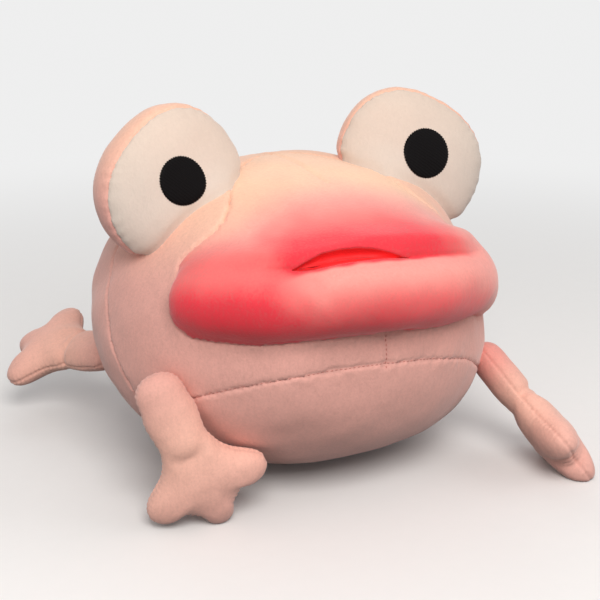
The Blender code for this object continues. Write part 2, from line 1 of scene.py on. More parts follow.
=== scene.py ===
"""Looks of the plush frog: its velvet covers, stuffing, airbrush and stitches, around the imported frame.

Metres, +Z up, the face looks along -Y and the frog's left side is +X. The covers start from the same
forms as the frame's solids, are swollen by a cloth simulation, and then get their seams and colour.
"""
import json
import logging
import math
from collections.abc import Callable
from dataclasses import dataclass, field
from enum import Enum

import bmesh
import bpy
import numpy as np
from mathutils import Matrix, Vector
from mathutils.bvhtree import BVHTree

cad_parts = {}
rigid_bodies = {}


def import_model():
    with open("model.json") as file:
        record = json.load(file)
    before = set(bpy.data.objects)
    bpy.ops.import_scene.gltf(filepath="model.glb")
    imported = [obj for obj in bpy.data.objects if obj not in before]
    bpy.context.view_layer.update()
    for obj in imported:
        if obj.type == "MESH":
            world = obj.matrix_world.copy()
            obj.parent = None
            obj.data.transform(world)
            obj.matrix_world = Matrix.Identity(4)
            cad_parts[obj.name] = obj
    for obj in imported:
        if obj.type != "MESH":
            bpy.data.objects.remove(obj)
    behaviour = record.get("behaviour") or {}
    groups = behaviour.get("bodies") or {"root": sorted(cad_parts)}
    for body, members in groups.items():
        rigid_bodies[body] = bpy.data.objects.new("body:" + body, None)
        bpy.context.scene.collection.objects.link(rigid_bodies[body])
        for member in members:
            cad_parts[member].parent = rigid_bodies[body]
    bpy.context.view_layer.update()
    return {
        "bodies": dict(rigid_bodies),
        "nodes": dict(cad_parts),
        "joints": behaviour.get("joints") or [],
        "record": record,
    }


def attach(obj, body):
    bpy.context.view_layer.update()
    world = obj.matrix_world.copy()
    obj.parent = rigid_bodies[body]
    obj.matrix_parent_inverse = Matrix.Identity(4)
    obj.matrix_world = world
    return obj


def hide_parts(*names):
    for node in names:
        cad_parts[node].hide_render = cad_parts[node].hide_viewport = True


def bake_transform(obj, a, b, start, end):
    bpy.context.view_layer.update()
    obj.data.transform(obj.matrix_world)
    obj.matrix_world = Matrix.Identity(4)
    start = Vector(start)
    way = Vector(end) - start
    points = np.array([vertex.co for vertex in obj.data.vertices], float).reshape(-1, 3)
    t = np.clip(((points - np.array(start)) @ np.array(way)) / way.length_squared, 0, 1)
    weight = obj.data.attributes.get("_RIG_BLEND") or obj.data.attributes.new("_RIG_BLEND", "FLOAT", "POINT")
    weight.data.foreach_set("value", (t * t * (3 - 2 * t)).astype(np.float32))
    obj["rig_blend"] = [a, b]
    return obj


log = logging.getLogger("plush_frog")

Points = np.ndarray
Field = Callable[[np.ndarray], np.ndarray]
Pair = tuple[float, float]
Triple = tuple[float, float, float]
Colour = tuple[float, float, float]
Table = tuple[tuple[float, float], ...]
BMesh = bmesh.types.BMesh
Mesh = bpy.types.Mesh
Object = bpy.types.Object
Material = bpy.types.Material
NodeTree = bpy.types.NodeTree

# The painted values. coral and deep hold spray, painted shade and a painted reflection.
TINTS = ("coral", "deep", "pale", "peach")


class Side(Enum):
    """The frog's two sides, with the sign of X there."""

    LEFT = 1
    RIGHT = -1

    @property
    def word(self) -> str:
        """The side as it stands in names."""
        return self.name.lower()


# Number helpers


def super_round(value: Points, power: float) -> Points:
    """The other coordinate of a superellipse, from 0 to 1, for one between -1 and 1."""
    return np.maximum(0.0, 1.0 - np.abs(value) ** power) ** (1.0 / power)


def bell(value: Points, spread: float) -> Points:
    """A smooth hump, 1 at the middle and low past its spread."""
    return np.exp(-((value / spread) ** 2))


def smooth_step(value: Points, low: float, high: float) -> Points:
    """A smooth rise from 0 at low to 1 at high."""
    share = np.clip((value - low) / (high - low), 0.0, 1.0)
    return share * share * (3.0 - 2.0 * share)


def smooth_fall(value: Points, low: float, high: float) -> Points:
    """A smooth fall from 1 at low to 0 at high."""
    return 1.0 - smooth_step(value, low, high)


def wrapped(angle: Points) -> Points:
    """Angles brought to between -pi and pi."""
    return (angle + math.pi) % (2.0 * math.pi) - math.pi


def linear(red: int, green: int, blue: int) -> Colour:
    """A colour written in screen values from 0 to 255, as the shaders need it."""
    shares = [channel / 255.0 for channel in (red, green, blue)]
    return tuple(s / 12.92 if s <= 0.04045 else ((s + 0.055) / 1.055) ** 2.4 for s in shares)


@dataclass(frozen=True)
class Wrinkle:
    """A smooth unevenness over space, made of sine waves in fixed directions."""

    waves: float
    height: float
    seed: int
    octaves: int = 3
    finer: float = 1.9
    weaker: float = 0.6
    directions: int = 5

    def over(self, points: Points, turn: int = 0) -> Points:
        """How far it stands out at each point.

        Args:
            points: Places, one a row.
            turn: Added to the seed, for another piece of the same kind.

        Returns:
            Values of about -1 to 1, times the height.
        """
        random = np.random.default_rng(self.seed + turn)
        total = np.zeros(len(points))
        for octave in range(self.octaves):
            ways = random.normal(size=(self.directions, 3))
            ways /= np.linalg.norm(ways, axis=1)[:, None]
            phases = random.uniform(0.0, 2.0 * math.pi, self.directions)
            scale = 2.0 * math.pi * self.waves * self.finer**octave
            total += np.sin(points @ ways.T * scale + phases).mean(axis=1) * self.weaker**octave
        return total * self.height


# Mesh helpers


def points_of(mesh: Mesh) -> Points:
    """The mesh's points, one a row."""
    flat = np.empty(len(mesh.vertices) * 3)
    mesh.vertices.foreach_get("co", flat)
    return flat.reshape(-1, 3)


def move_points(mesh: Mesh, points: Points) -> None:
    """Gives the mesh's points new places."""
    mesh.vertices.foreach_set("co", points.astype(np.float32).ravel())
    mesh.update()


def edges_of(mesh: Mesh) -> np.ndarray:
    """The two point numbers of each edge."""
    flat = np.empty(len(mesh.edges) * 2, dtype=np.int32)
    mesh.edges.foreach_get("vertices", flat)
    return flat.reshape(-1, 2)


def object_of(name: str, mesh: Mesh) -> Object:
    """Puts a mesh into the scene as an object at the origin."""
    made = bpy.data.objects.new(name, mesh)
    bpy.context.scene.collection.objects.link(made)
    return made


def mesh_of(name: str, bm: BMesh, smooth: bool = True) -> Mesh:
    """Turns a bmesh into a mesh and frees it.

    Args:
        name: The mesh's name.
        bm: The bmesh to use up.
        smooth: Whether its faces are shaded smooth.

    Returns:
        The mesh.
    """
    mesh = bpy.data.meshes.new(name)
    for face in bm.faces:
        face.smooth = smooth
    bm.normal_update()
    bm.to_mesh(mesh)
    bm.free()
    return mesh


def bmesh_of(mesh: Mesh) -> BMesh:
    """An editable copy of a mesh."""
    bm = bmesh.new()
    bm.from_mesh(mesh)
    return bm


def placed(bm: BMesh) -> Points:
    """The places of a bmesh's points, one a row."""
    return np.array([vertex.co[:] for vertex in bm.verts])


def middles_of(bm: BMesh) -> Points:
    """The middles of a bmesh's faces, one a row."""
    return np.array([face.calc_center_median()[:] for face in bm.faces])


def pushed(bm: BMesh, amounts: Points) -> None:
    """Moves each point along its outward direction."""
    bm.normal_update()
    moves = [(vertex, vertex.normal.copy(), float(far)) for vertex, far in zip(bm.verts, amounts)]
    for vertex, normal, far in moves:
        vertex.co += normal * far


def surface_of(mesh: Mesh) -> BVHTree:
    """A closed form's surface, for finding distances to it."""
    bm = bmesh_of(mesh)
    tree = BVHTree.FromBMesh(bm)
    bm.free()
    return tree


def height_over(points: Points, tree: BVHTree) -> Points:
    """Distance of each point outside a closed surface, negative inside it."""
    result = np.empty(len(points))
    for number, place in enumerate(points):
        spot = Vector(place)
        hit, normal, _, distance = tree.find_nearest(spot)
        result[number] = math.copysign(distance, (spot - hit).dot(normal))
    return result


def moved_by(points: Points, matrix: Matrix) -> Points:
    """Places taken through a matrix, one a row."""
    table = np.array(matrix)
    return points @ table[:3, :3].T + table[:3, 3]


def unit_sphere(segments: int, rings: int) -> tuple[BMesh, Points]:
    """A sphere of radius 1 and the places of its points.

    Args:
        segments: Faces round its waist.
        rings: Faces from pole to pole.

    Returns:
        The bmesh and its points, one a row, in the same order.
    """
    bm = bmesh.new()
    bmesh.ops.create_uvsphere(bm, u_segments=segments, v_segments=rings, radius=1.0)
    return bm, placed(bm)


def shaped(name: str, bm: BMesh, points: Points) -> Mesh:
    """A mesh from a bmesh whose points are moved first."""
    for vertex, place in zip(bm.verts, points):
        vertex.co = place
    bmesh.ops.recalc_face_normals(bm, faces=bm.faces[:])
    return mesh_of(name, bm)


def evaluated(obj: Object) -> Mesh:
    """What the object's modifiers make of its mesh."""
    graph = bpy.context.evaluated_depsgraph_get()
    return bpy.data.meshes.new_from_object(obj.evaluated_get(graph))


def fused(name: str, meshes: list[Mesh], voxel: float) -> Mesh:
    """One even skin round several closed forms that overlap.

    Args:
        name: The new mesh's name.
        meshes: The closed forms.
        voxel: Size of the skin's faces.

    Returns:
        The skin.
    """
    bm = bmesh.new()
    for mesh in meshes:
        bm.from_mesh(mesh)
    work = object_of(name, mesh_of(name, bm))
    step = work.modifiers.new("remesh", "REMESH")
    step.mode = "VOXEL"
    step.voxel_size = voxel
    step.use_smooth_shade = True
    made = evaluated(work)
    bpy.data.objects.remove(work)
    return made


def relaxed(points: Points, edges: np.ndarray, weight: Points, rounds: int) -> Points:
    """Smooths a skin by moving each point towards the middle of its neighbours.

    Args:
        points: The skin's points.
        edges: Its edges.
        weight: How far each point goes in a round, from 0 to 1.
        rounds: How many rounds.

    Returns:
        The smoothed points.
    """
    count = np.bincount(edges.ravel(), minlength=len(points)).astype(float)[:, None]
    for _ in range(rounds):
        total = np.zeros_like(points)
        for axis in range(3):
            total[:, axis] += np.bincount(edges[:, 0], points[edges[:, 1], axis], len(points))
            total[:, axis] += np.bincount(edges[:, 1], points[edges[:, 0], axis], len(points))
        points = points + weight[:, None] * (total / np.maximum(count, 1.0) - points)
    return points


def evened(mesh: Mesh, rounds: int) -> Points:
    """A skin's points, smoothed alike all over to take off the remesh's steps."""
    return relaxed(points_of(mesh), edges_of(mesh), np.full(len(mesh.vertices), 0.5), rounds)


def subdivided(mesh: Mesh) -> Mesh:
    """The mesh after one smooth subdivision."""
    work = object_of("work", mesh)
    step = work.modifiers.new("finer", "SUBSURF")
    step.levels = 1
    step.render_levels = 1
    made = evaluated(work)
    bpy.data.objects.remove(work)
    return made


@dataclass(frozen=True)
class Stuffing:
    """The cloth simulation that swells a cover round its filling."""

    pressure: float = 4.0
    frames: int = 20
    cap: float = 0.004
    stiffness: float = 12.0
    bending: float = 0.6
    mass: float = 0.25

    def swell(self, mesh: Mesh, pinned: Points) -> None:
        """Swells a closed skin where it isn't pinned.

        Args:
            mesh: The closed skin, whose points are moved.
            pinned: How firmly a seam holds each point, from 0 to 1.
        """
        start = points_of(mesh)
        work = object_of("stuffing", mesh.copy())
        group = work.vertex_groups.new(name="seams")
        for level in np.linspace(0.1, 1.0, 10):
            picked = np.flatnonzero(np.abs(pinned - level) <= 0.05).tolist()
            group.add(picked, float(level), "REPLACE")
        step = work.modifiers.new("stuffing", "CLOTH")
        cloth = step.settings
        cloth.use_pressure = True
        cloth.uniform_pressure_force = self.pressure
        cloth.tension_stiffness = self.stiffness
        cloth.compression_stiffness = self.stiffness
        cloth.bending_stiffness = self.bending
        cloth.mass = self.mass
        cloth.vertex_group_mass = group.name
        cloth.effector_weights.gravity = 0.0
        step.point_cache.frame_start = 1
        step.point_cache.frame_end = self.frames
        scene = bpy.context.scene
        for frame in range(1, self.frames + 1):
            scene.frame_set(frame)
        swollen = evaluated(work)
        scene.frame_set(1)
        moved = points_of(swollen) - start
        far = np.linalg.norm(moved, axis=1)
        kept = self.cap * np.tanh(far / self.cap) / np.maximum(far, 1e-9)
        move_points(mesh, start + moved * kept[:, None])
        bpy.data.objects.remove(work)


def cut_along(bm: BMesh, line: Field, where: Field, mark: str, near: float = 0.2) -> None:
    """Lays new edges exactly along the line where a field is zero, and marks their points.

    Args:
        bm: The skin to cut.
        line: The field.
        where: True for the points among which the line is cut.
        mark: Name of the point layer that is set to 1 on the line.
        near: Share of an edge within which its end is moved onto the line.
    """
    layer = bm.verts.layers.float.get(mark) or bm.verts.layers.float.new(mark)
    bm.verts.index_update()
    bm.verts.ensure_lookup_table()
    bm.edges.ensure_lookup_table()
    points = placed(bm)
    values = line(points)
    inside = where(points)
    ends = np.array([(edge.verts[0].index, edge.verts[1].index) for edge in bm.edges])
    crossed = np.flatnonzero((values[ends[:, 0]] * values[ends[:, 1]] < 0.0) & inside[ends].all(axis=1))
    on_line = {}
    for number in crossed:
        first, second = ends[number]
        if values[first] == 0.0 or values[second] == 0.0:
            continue
        share = values[first] / (values[first] - values[second])
        place = points[first] + (points[second] - points[first]) * share
        close = first if share < near else second if share > 1.0 - near else None
        if close is not None:
            bm.verts[close].co = place
            points[close] = place
            values[close] = 0.0
            on_line[bm.verts[close]] = None
    edges = list(bm.edges)
    for number in crossed:
        first, second = ends[number]
        if values[first] * values[second] < 0.0:
            share = values[first] / (values[first] - values[second])
            _, vertex = bmesh.utils.edge_split(edges[number], bm.verts[first], share)
            on_line[vertex] = None
            bm.verts.ensure_lookup_table()
    bmesh.ops.connect_verts(bm, verts=list(on_line))
    for vertex in on_line:
        vertex[layer] = 1.0


def drawn_in(bm: BMesh, mark: str, depth: float, shoulder: float = 0.35) -> None:
    """Pulls the points of a seam inwards, and their neighbours by a share of that.

    Args:
        bm: The skin.
        mark: Name of the point layer of the seam.
        depth: How deep the seam lies.
        shoulder: The share of the depth for the neighbours.
    """
    layer = bm.verts.layers.float[mark]
    bm.normal_update()
    seam = [vertex for vertex in bm.verts if vertex[layer] > 0.5]
    seamed = set(seam)
    beside = {edge.other_vert(vertex) for vertex in seam for edge in vertex.link_edges} - seamed
    moves = [(vertex, vertex.normal.copy(), depth) for vertex in seam]
    moves += [(vertex, vertex.normal.copy(), depth * shoulder) for vertex in beside]
    for vertex, normal, deep in moves:
        vertex.co -= normal * deep


def closed_to(bm: BMesh, hub: Vector) -> None:
    """Closes a cover's open rim with a fan of hidden faces to a hub inside it."""
    rim = [edge for edge in bm.edges if edge.is_boundary]
    centre = bm.verts.new(hub)
    for edge in rim:
        loop = edge.link_loops[0]
        bm.faces.new((loop.link_loop_next.vert, loop.vert, centre))
        edge.smooth = False


def kept_faces(bm: BMesh, inside: Field) -> None:
    """Deletes the faces whose middles aren't inside a field's positive side."""
    outside = np.flatnonzero(inside(middles_of(bm)) <= 0.0)
    bm.faces.ensure_lookup_table()
    bmesh.ops.delete(bm, geom=[bm.faces[number] for number in outside], context="FACES")


def paint(mesh: Mesh, name: str, values: Points) -> None:
    """Stores a value from 0 to 1 at each point, for a material to read."""
    layer = mesh.attributes.new(name, "FLOAT", "POINT")
    layer.data.foreach_set("value", np.clip(values, 0.0, 1.0).astype(np.float32))


def tinted(mesh: Mesh, **tints: Points) -> None:
    """Paints a cover's tints, and leaves it free of those that aren't given."""
    for name in TINTS:
        paint(mesh, name, tints.get(name, np.zeros(len(mesh.vertices))))


def walled(piece: Object, thickness: float = 0.0003) -> None:
    """Gives an open sheet a thin wall behind its face."""
    wall = piece.modifiers.new("wall", "SOLIDIFY")
    wall.thickness = thickness
    wall.offset = -1.0


def everywhere(points: Points) -> np.ndarray:
    """True at every point of a skin."""
    return np.ones(len(points), bool)


# Materials


class Socket:
    """A value in a shader tree. Python's operators on it add Math nodes."""

    def __init__(self, tree: NodeTree, source: bpy.types.NodeSocket) -> None:
        """Keeps the tree and the output that the value comes from."""
        self.tree = tree
        self.source = source

    def _math(self, operation: str, first: object, second: object) -> "Socket":
        """Adds one Math node.

        Args:
            operation: The node's operation.
            first: A socket or a number.
            second: A socket or a number.

        Returns:
            Its result.
        """
        node = self.tree.nodes.new("ShaderNodeMath")
        node.operation = operation
        for slot, value in zip(node.inputs, (first, second)):
            if isinstance(value, Socket):
                self.tree.links.new(value.source, slot)
            else:
                slot.default_value = value
        return Socket(self.tree, node.outputs[0])

    def __add__(self, other: object) -> "Socket":
        """Sum."""
        return self._math("ADD", self, other)

    def __sub__(self, other: object) -> "Socket":
        """Difference."""
        return self._math("SUBTRACT", self, other)

    def __rsub__(self, other: object) -> "Socket":
        """Reflected difference."""
        return self._math("SUBTRACT", other, self)

    def __mul__(self, other: object) -> "Socket":
        """Product."""
        return self._math("MULTIPLY", self, other)

    __radd__ = __add__
    __rmul__ = __mul__


@dataclass
class Shader:
    """A material under construction."""

    name: str
    material: Material = field(init=False)
    tree: NodeTree = field(init=False)

    def __post_init__(self) -> None:
        """Makes an empty node material."""
        self.material = bpy.data.materials.new(self.name)
        self.material.use_nodes = True
        self.tree = self.material.node_tree
        self.tree.nodes.clear()

    def node(self, kind: str, settings: dict | None = None, **sockets: object) -> bpy.types.Node:
        """Adds one node.

        Args:
            kind: The node's type, without its common prefix.
            settings: Its properties.
            **sockets: Values or links of its inputs, by name with _ for a space.

        Returns:
            The node.
        """
        made = self.tree.nodes.new(f"ShaderNode{kind}")
        for key, value in (settings or {}).items():
            setattr(made, key, value)
        for key, value in sockets.items():
            wanted = key.replace("_", " ")
            slot = next(s for s in made.inputs if s.name == wanted and s.enabled)
            if isinstance(value, Socket):
                self.tree.links.new(value.source, slot)
            else:
                slot.default_value = value
        return made

    def out(self, node: bpy.types.Node, name: str) -> Socket:
        """One output of a node, by name."""
        return Socket(self.tree, next(s for s in node.outputs if s.name == name and s.enabled))

    def places(self, scale: Triple = (1.0, 1.0, 1.0)) -> Socket:
        """The object's own coordinates, stretched by a scale."""
        coordinates = self.out(self.node("TexCoord"), "Object")
        return self.out(self.node("Mapping", Vector=coordinates, Scale=scale), "Vector")

    def noise(self, scale: float, detail: float, where: Socket) -> Socket:
        """An uneven value about 0.5, with so many blotches to the metre and finer layers."""
        made = self.node("TexNoise", None, Vector=where, Scale=scale, Detail=detail, Roughness=0.6)
        return self.out(made, "Fac")

    def far(self) -> Socket:
        """The distance from the object's middle."""
        length = self.node("VectorMath", {"operation": "LENGTH"}, Vector=self.places())
        return self.out(length, "Value")

    def painted(self, name: str) -> Socket:
        """A value stored at the mesh's points."""
        made = self.node("Attribute", {"attribute_name": name, "attribute_type": "GEOMETRY"})
        return self.out(made, "Fac")

    def mixed(self, share: object, first: object, second: object, way: str = "MIX") -> Socket:
        """Mixes two colours.

        Args:
            share: How much of the second, a socket or a number.
            first: A colour or a socket.
            second: A colour or a socket.
            way: How they are mixed.

        Returns:
            The colour.
        """
        first, second = (
            value if isinstance(value, Socket) else (*value, 1.0) for value in (first, second)
        )
        settings = {"data_type": "RGBA", "blend_type": way}
        return self.out(self.node("Mix", settings, Factor=share, A=first, B=second), "Result")

    def grey(self, value: Socket) -> Socket:
        """A number as a grey colour."""
        made = self.node("CombineColor", None, Red=value, Green=value, Blue=value)
        return self.out(made, "Color")

    def bumped(self, height: Socket, strength: float, distance: float) -> Socket:
        """The normal over a height, with the bump's strength and how tall it is."""
        made = self.node("Bump", None, Height=height, Strength=strength, Distance=distance)
        return self.out(made, "Normal")

    def finish(self, **sockets: object) -> Material:
        """Ends the material with a Principled shader.

        Args:
            **sockets: The shader's inputs.

        Returns:
            The material.
        """
        shader = self.node("BsdfPrincipled", None, **sockets)
        output = self.node("OutputMaterial")
        self.tree.links.new(shader.outputs[0], output.inputs[0])
        return self.material


@dataclass(frozen=True)
class PlushFinish:
    """Short velvet pile. The painted values coral, deep, peach and pale tint it; coral and deep carry
    painted shade and a painted reflection as well as spray.

    grain and relief give the shares that pile and nap have in the grain of the coral and deep tints
    and in the bump.
    """

    name: str
    ground: Colour
    peach: Colour = linear(250, 205, 174)
    pale: Colour = linear(246, 190, 174)
    coral: Colour = linear(236, 64, 76)
    deep: Colour = linear(198, 30, 44)
    pile: float = 460.0
    nap: float = 170.0
    nap_stretch: Triple = (1.6, 1.6, 0.7)
    mottle: float = 14.0
    grain: Pair = (0.35, 0.20)
    contrast: float = 0.26
    nap_contrast: float = 0.7
    mottle_contrast: float = 0.8
    relief: Pair = (0.6, 0.8)
    bump: float = 0.35
    bump_height: float = 0.0012
    roughness: float = 0.86
    roughness_mottle: float = 0.16
    specular: float = 0.15
    sheen: float = 0.35
    sheen_roughness: float = 0.45

    def material(self) -> Material:
        """Builds the material."""
        shader = Shader(self.name)
        here = shader.places()
        nap = shader.noise(self.nap, 2.0, shader.places(self.nap_stretch))
        pile = shader.noise(self.pile, 3.0, here)
        mottle = shader.noise(self.mottle, 3.0, here)
        colour = self.ground
        for name, tint in (("peach", self.peach), ("pale", self.pale)):
            colour = shader.mixed(shader.painted(name), colour, tint)
        grain = (pile - 0.5) * self.grain[0] + (nap - 0.5) * self.grain[1]
        for name, tint in (("coral", self.coral), ("deep", self.deep)):
            # coral and deep: spray, and on some covers painted shade and a painted reflection.
            spray_and_shade = shader.painted(name)
            colour = shader.mixed(spray_and_shade + grain * spray_and_shade, colour, tint)
        light = 1.0 + (pile - 0.5) * self.contrast + (nap - 0.5) * self.contrast * self.nap_contrast
        light = light + (mottle - 0.5) * self.contrast * self.mottle_contrast
        colour = shader.mixed(1.0, colour, shader.grey(light), "MULTIPLY")
        height = pile * self.relief[0] + nap * self.relief[1]
        return shader.finish(
            Base_Color=colour,
            Roughness=self.roughness + (mottle - 0.5) * self.roughness_mottle,
            Normal=shader.bumped(height, self.bump, self.bump_height),
            Sheen_Weight=self.sheen,
            Sheen_Roughness=self.sheen_roughness,
            Specular_IOR_Level=self.specular,
        )


@dataclass(frozen=True)
class SatinFinish:
    """The slippery red cloth inside the mouth. The painted value deep shades it."""

    name: str = "mouth_satin"
    ground: Colour = linear(255, 36, 40)
    shade: Colour = linear(214, 12, 20)
    folds: float = 45.0
    weave: float = 900.0
    bump: float = 0.2
    bump_height: float = 0.0008
    roughness: float = 0.70
    roughness_weave: float = 0.2
    sheen: float = 0.05

    def material(self) -> Material:
        """Builds the material."""
        shader = Shader(self.name)
        here = shader.places()
        folds = shader.noise(self.folds, 2.0, here)
        weave = shader.noise(self.weave, 2.0, here)
        colour = shader.mixed(folds, self.shade, self.ground)
        colour = shader.mixed(shader.painted("deep"), colour, self.shade)
        return shader.finish(
            Base_Color=colour,
            Roughness=self.roughness + (weave - 0.5) * self.roughness_weave,
            Normal=shader.bumped(weave + folds, self.bump, self.bump_height),
            Sheen_Weight=self.sheen,
        )


@dataclass(frozen=True)
class ThreadFinish:
    """Thread: the pupils' black embroidery, or the pink of the seams.

    light gives the least brightness and what rows and fluff add to it.
    """

    name: str
    ground: Colour
    rows: float = 150.0
    waver: float = 1.5
    fluff: float = 500.0
    light: Triple = (0.75, 0.3, 0.2)
    bump: float = 0.5
    bump_height: float = 0.0004
    roughness: float = 0.62
    roughness_rows: float = 0.12
    specular: float = 0.08

    def material(self) -> Material:
        """Builds the material."""
        shader = Shader(self.name)
        wave = shader.node(
            "TexWave", {"wave_type": "BANDS", "bands_direction": "DIAGONAL"},
            Vector=shader.places(), Scale=self.rows, Distortion=self.waver, Detail=1.0,
        )
        rows = shader.out(wave, "Fac")
        fluff = shader.noise(self.fluff, 2.0, shader.places())
        light = self.light[0] + rows * self.light[1] + fluff * self.light[2]
        colour = shader.mixed(1.0, self.ground, shader.grey(light), "MULTIPLY")
        return shader.finish(
            Base_Color=colour,
            Roughness=self.roughness + (rows - 0.5) * self.roughness_rows,
            Normal=shader.bumped(rows, self.bump, self.bump_height),
            Specular_IOR_Level=self.specular,
        )


class Finishes:
    """The frog's materials, each made once."""

    def __init__(self) -> None:
        """Makes the materials."""
        self.pink = PlushFinish("pink_plush", linear(224, 168, 157)).material()
        self.lips = PlushFinish("lip_plush", linear(243, 168, 157)).material()
        self.white = PlushFinish("white_plush", linear(212, 199, 188), contrast=0.10, sheen=0.25).material()
        self.satin = SatinFinish().material()
        self.black = ThreadFinish("black_thread", linear(7, 5, 6)).material()
        pink = linear(196, 132, 124)
        self.thread = ThreadFinish("pink_thread", pink, rows=400.0, roughness=0.8).material()


# Stitches


@dataclass
class StitchRow:
    """A row of short threads along a seam, laid by a node tree."""

    spacing: float = 0.0042
    length: float = 0.0026
    radius: float = 0.00045
    bead_segments: int = 8
    bead_rings: int = 5
    tree: NodeTree | None = None

    def _new_tree(self) -> NodeTree:
        """Builds the node tree: edges to a curve, evenly spaced threads along it, made real."""
        tree = bpy.data.node_groups.new("stitch_row", "GeometryNodeTree")
        inputs = {"Seam": "Geometry", "Spacing": "Float", "Length": "Float", "Radius": "Float",
                  "Thread": "Material"}
        for name, kind in inputs.items():
            tree.interface.new_socket(name, in_out="INPUT", socket_type=f"NodeSocket{kind}")
        tree.interface.new_socket("Stitches", in_out="OUTPUT", socket_type="NodeSocketGeometry")
        kinds = {
            "given": "NodeGroupInput", "result": "NodeGroupOutput", "curve": "GeometryNodeMeshToCurve",
            "spaced": "GeometryNodeResampleCurve", "tangent": "GeometryNodeInputTangent",
            "aligned": "FunctionNodeAlignRotationToVector", "bead": "GeometryNodeMeshUVSphere",
            "size": "ShaderNodeCombineXYZ", "half": "ShaderNodeMath",
            "laid": "GeometryNodeInstanceOnPoints", "real": "GeometryNodeRealizeInstances",
            "dressed": "GeometryNodeSetMaterial",
        }
        nodes = {name: tree.nodes.new(kind) for name, kind in kinds.items()}
        nodes["spaced"].mode = "LENGTH"
        nodes["aligned"].axis = "X"
        nodes["half"].operation = "MULTIPLY"
        values = (("bead", "Segments", self.bead_segments), ("bead", "Rings", self.bead_rings),
                  ("bead", "Radius", 1.0), ("half", 1, 0.5))
        for name, slot, value in values:
            nodes[name].inputs[slot].default_value = value
        links = (
            ("given", "Seam", "curve", "Mesh"), ("curve", 0, "spaced", "Curve"),
            ("given", "Spacing", "spaced", "Length"), ("tangent", 0, "aligned", "Vector"),
            ("given", "Length", "half", 0), ("half", 0, "size", "X"),
            ("given", "Radius", "size", "Y"), ("given", "Radius", "size", "Z"),
            ("spaced", 0, "laid", "Points"), ("bead", "Mesh", "laid", "Instance"),
            ("aligned", 0, "laid", "Rotation"), ("size", 0, "laid", "Scale"),
            ("laid", 0, "real", 0), ("real", 0, "dressed", "Geometry"),
            ("given", "Thread", "dressed", "Material"), ("dressed", 0, "result", 0),
        )
        for source, out, target, into in links:
            tree.links.new(nodes[source].outputs[out], nodes[target].inputs[into])
        return tree

    def sew(self, name: str, paths: list[Points], thread: Material) -> Object:
        """Lays stitches along paths.

        Args:
            name: The piece's name.
            paths: Points in order, one list for each run of the seam.
            thread: The thread's material.

        Returns:
            The stitches as one plain mesh object.
        """
        self.tree = self.tree or self._new_tree()
        bm = bmesh.new()
        for path in paths:
            run = [bm.verts.new(place) for place in path]
            for first, second in zip(run, run[1:]):
                bm.edges.new((first, second))
        seam = object_of(name, mesh_of(name, bm))
        step = seam.modifiers.new("stitches", "NODES")
        step.node_group = self.tree
        values = {
            "Spacing": self.spacing, "Length": self.length, "Radius": self.radius, "Thread": thread
        }
        for item in self.tree.interface.items_tree:
            if item.name in values:
                step[item.identifier] = values[item.name]
        made = evaluated(seam)
        seam.modifiers.clear()
        seam.data = made
        made.shade_smooth()
        return seam


def follow(run: list[bmesh.types.BMVert], left: dict[bmesh.types.BMEdge, None]) -> None:
    """Lengthens a run of points along the edges that are left, using them up."""
    while True:
        onward = next((edge for edge in run[-1].link_edges if edge in left), None)
        if onward is None:
            return
        del left[onward]
        run.append(onward.other_vert(run[-1]))


def rim_of(bm: BMesh) -> list[bmesh.types.BMVert]:
    """The longest open rim of a skin, point by point."""
    left = {edge: None for edge in bm.edges if edge.is_boundary}
    longest: list[bmesh.types.BMVert] = []
    while left:
        edge = next(iter(left))
        del left[edge]
        run = [edge.verts[0], edge.verts[1]]
        follow(run, left)
        if run[0] is run[-1]:
            run.pop()
        longest = max(longest, run, key=len)
    return longest


def seam_paths(bm: BMesh, mark: str, out: float) -> list[Points]:
    """The runs of a marked seam, each as points in order.

    Args:
        bm: The skin.
        mark: Name of the point layer of the seam.
        out: How far the paths lie outside the skin.

    Returns:
        The paths.
    """
    layer = bm.verts.layers.float.get(mark)
    bm.normal_update()
    left = {e: None for e in bm.edges if e.verts[0][layer] > 0.5 and e.verts[1][layer] > 0.5}
    paths = []
    while left:
        edge = next(iter(left))
        del left[edge]
        run = [edge.verts[0], edge.verts[1]]
        for _ in range(2):
            follow(run, left)
            run.reverse()
        if len(run) > 4:
            paths.append(np.array([(v.co + v.normal * out)[:] for v in run]))
    return paths


# Torso


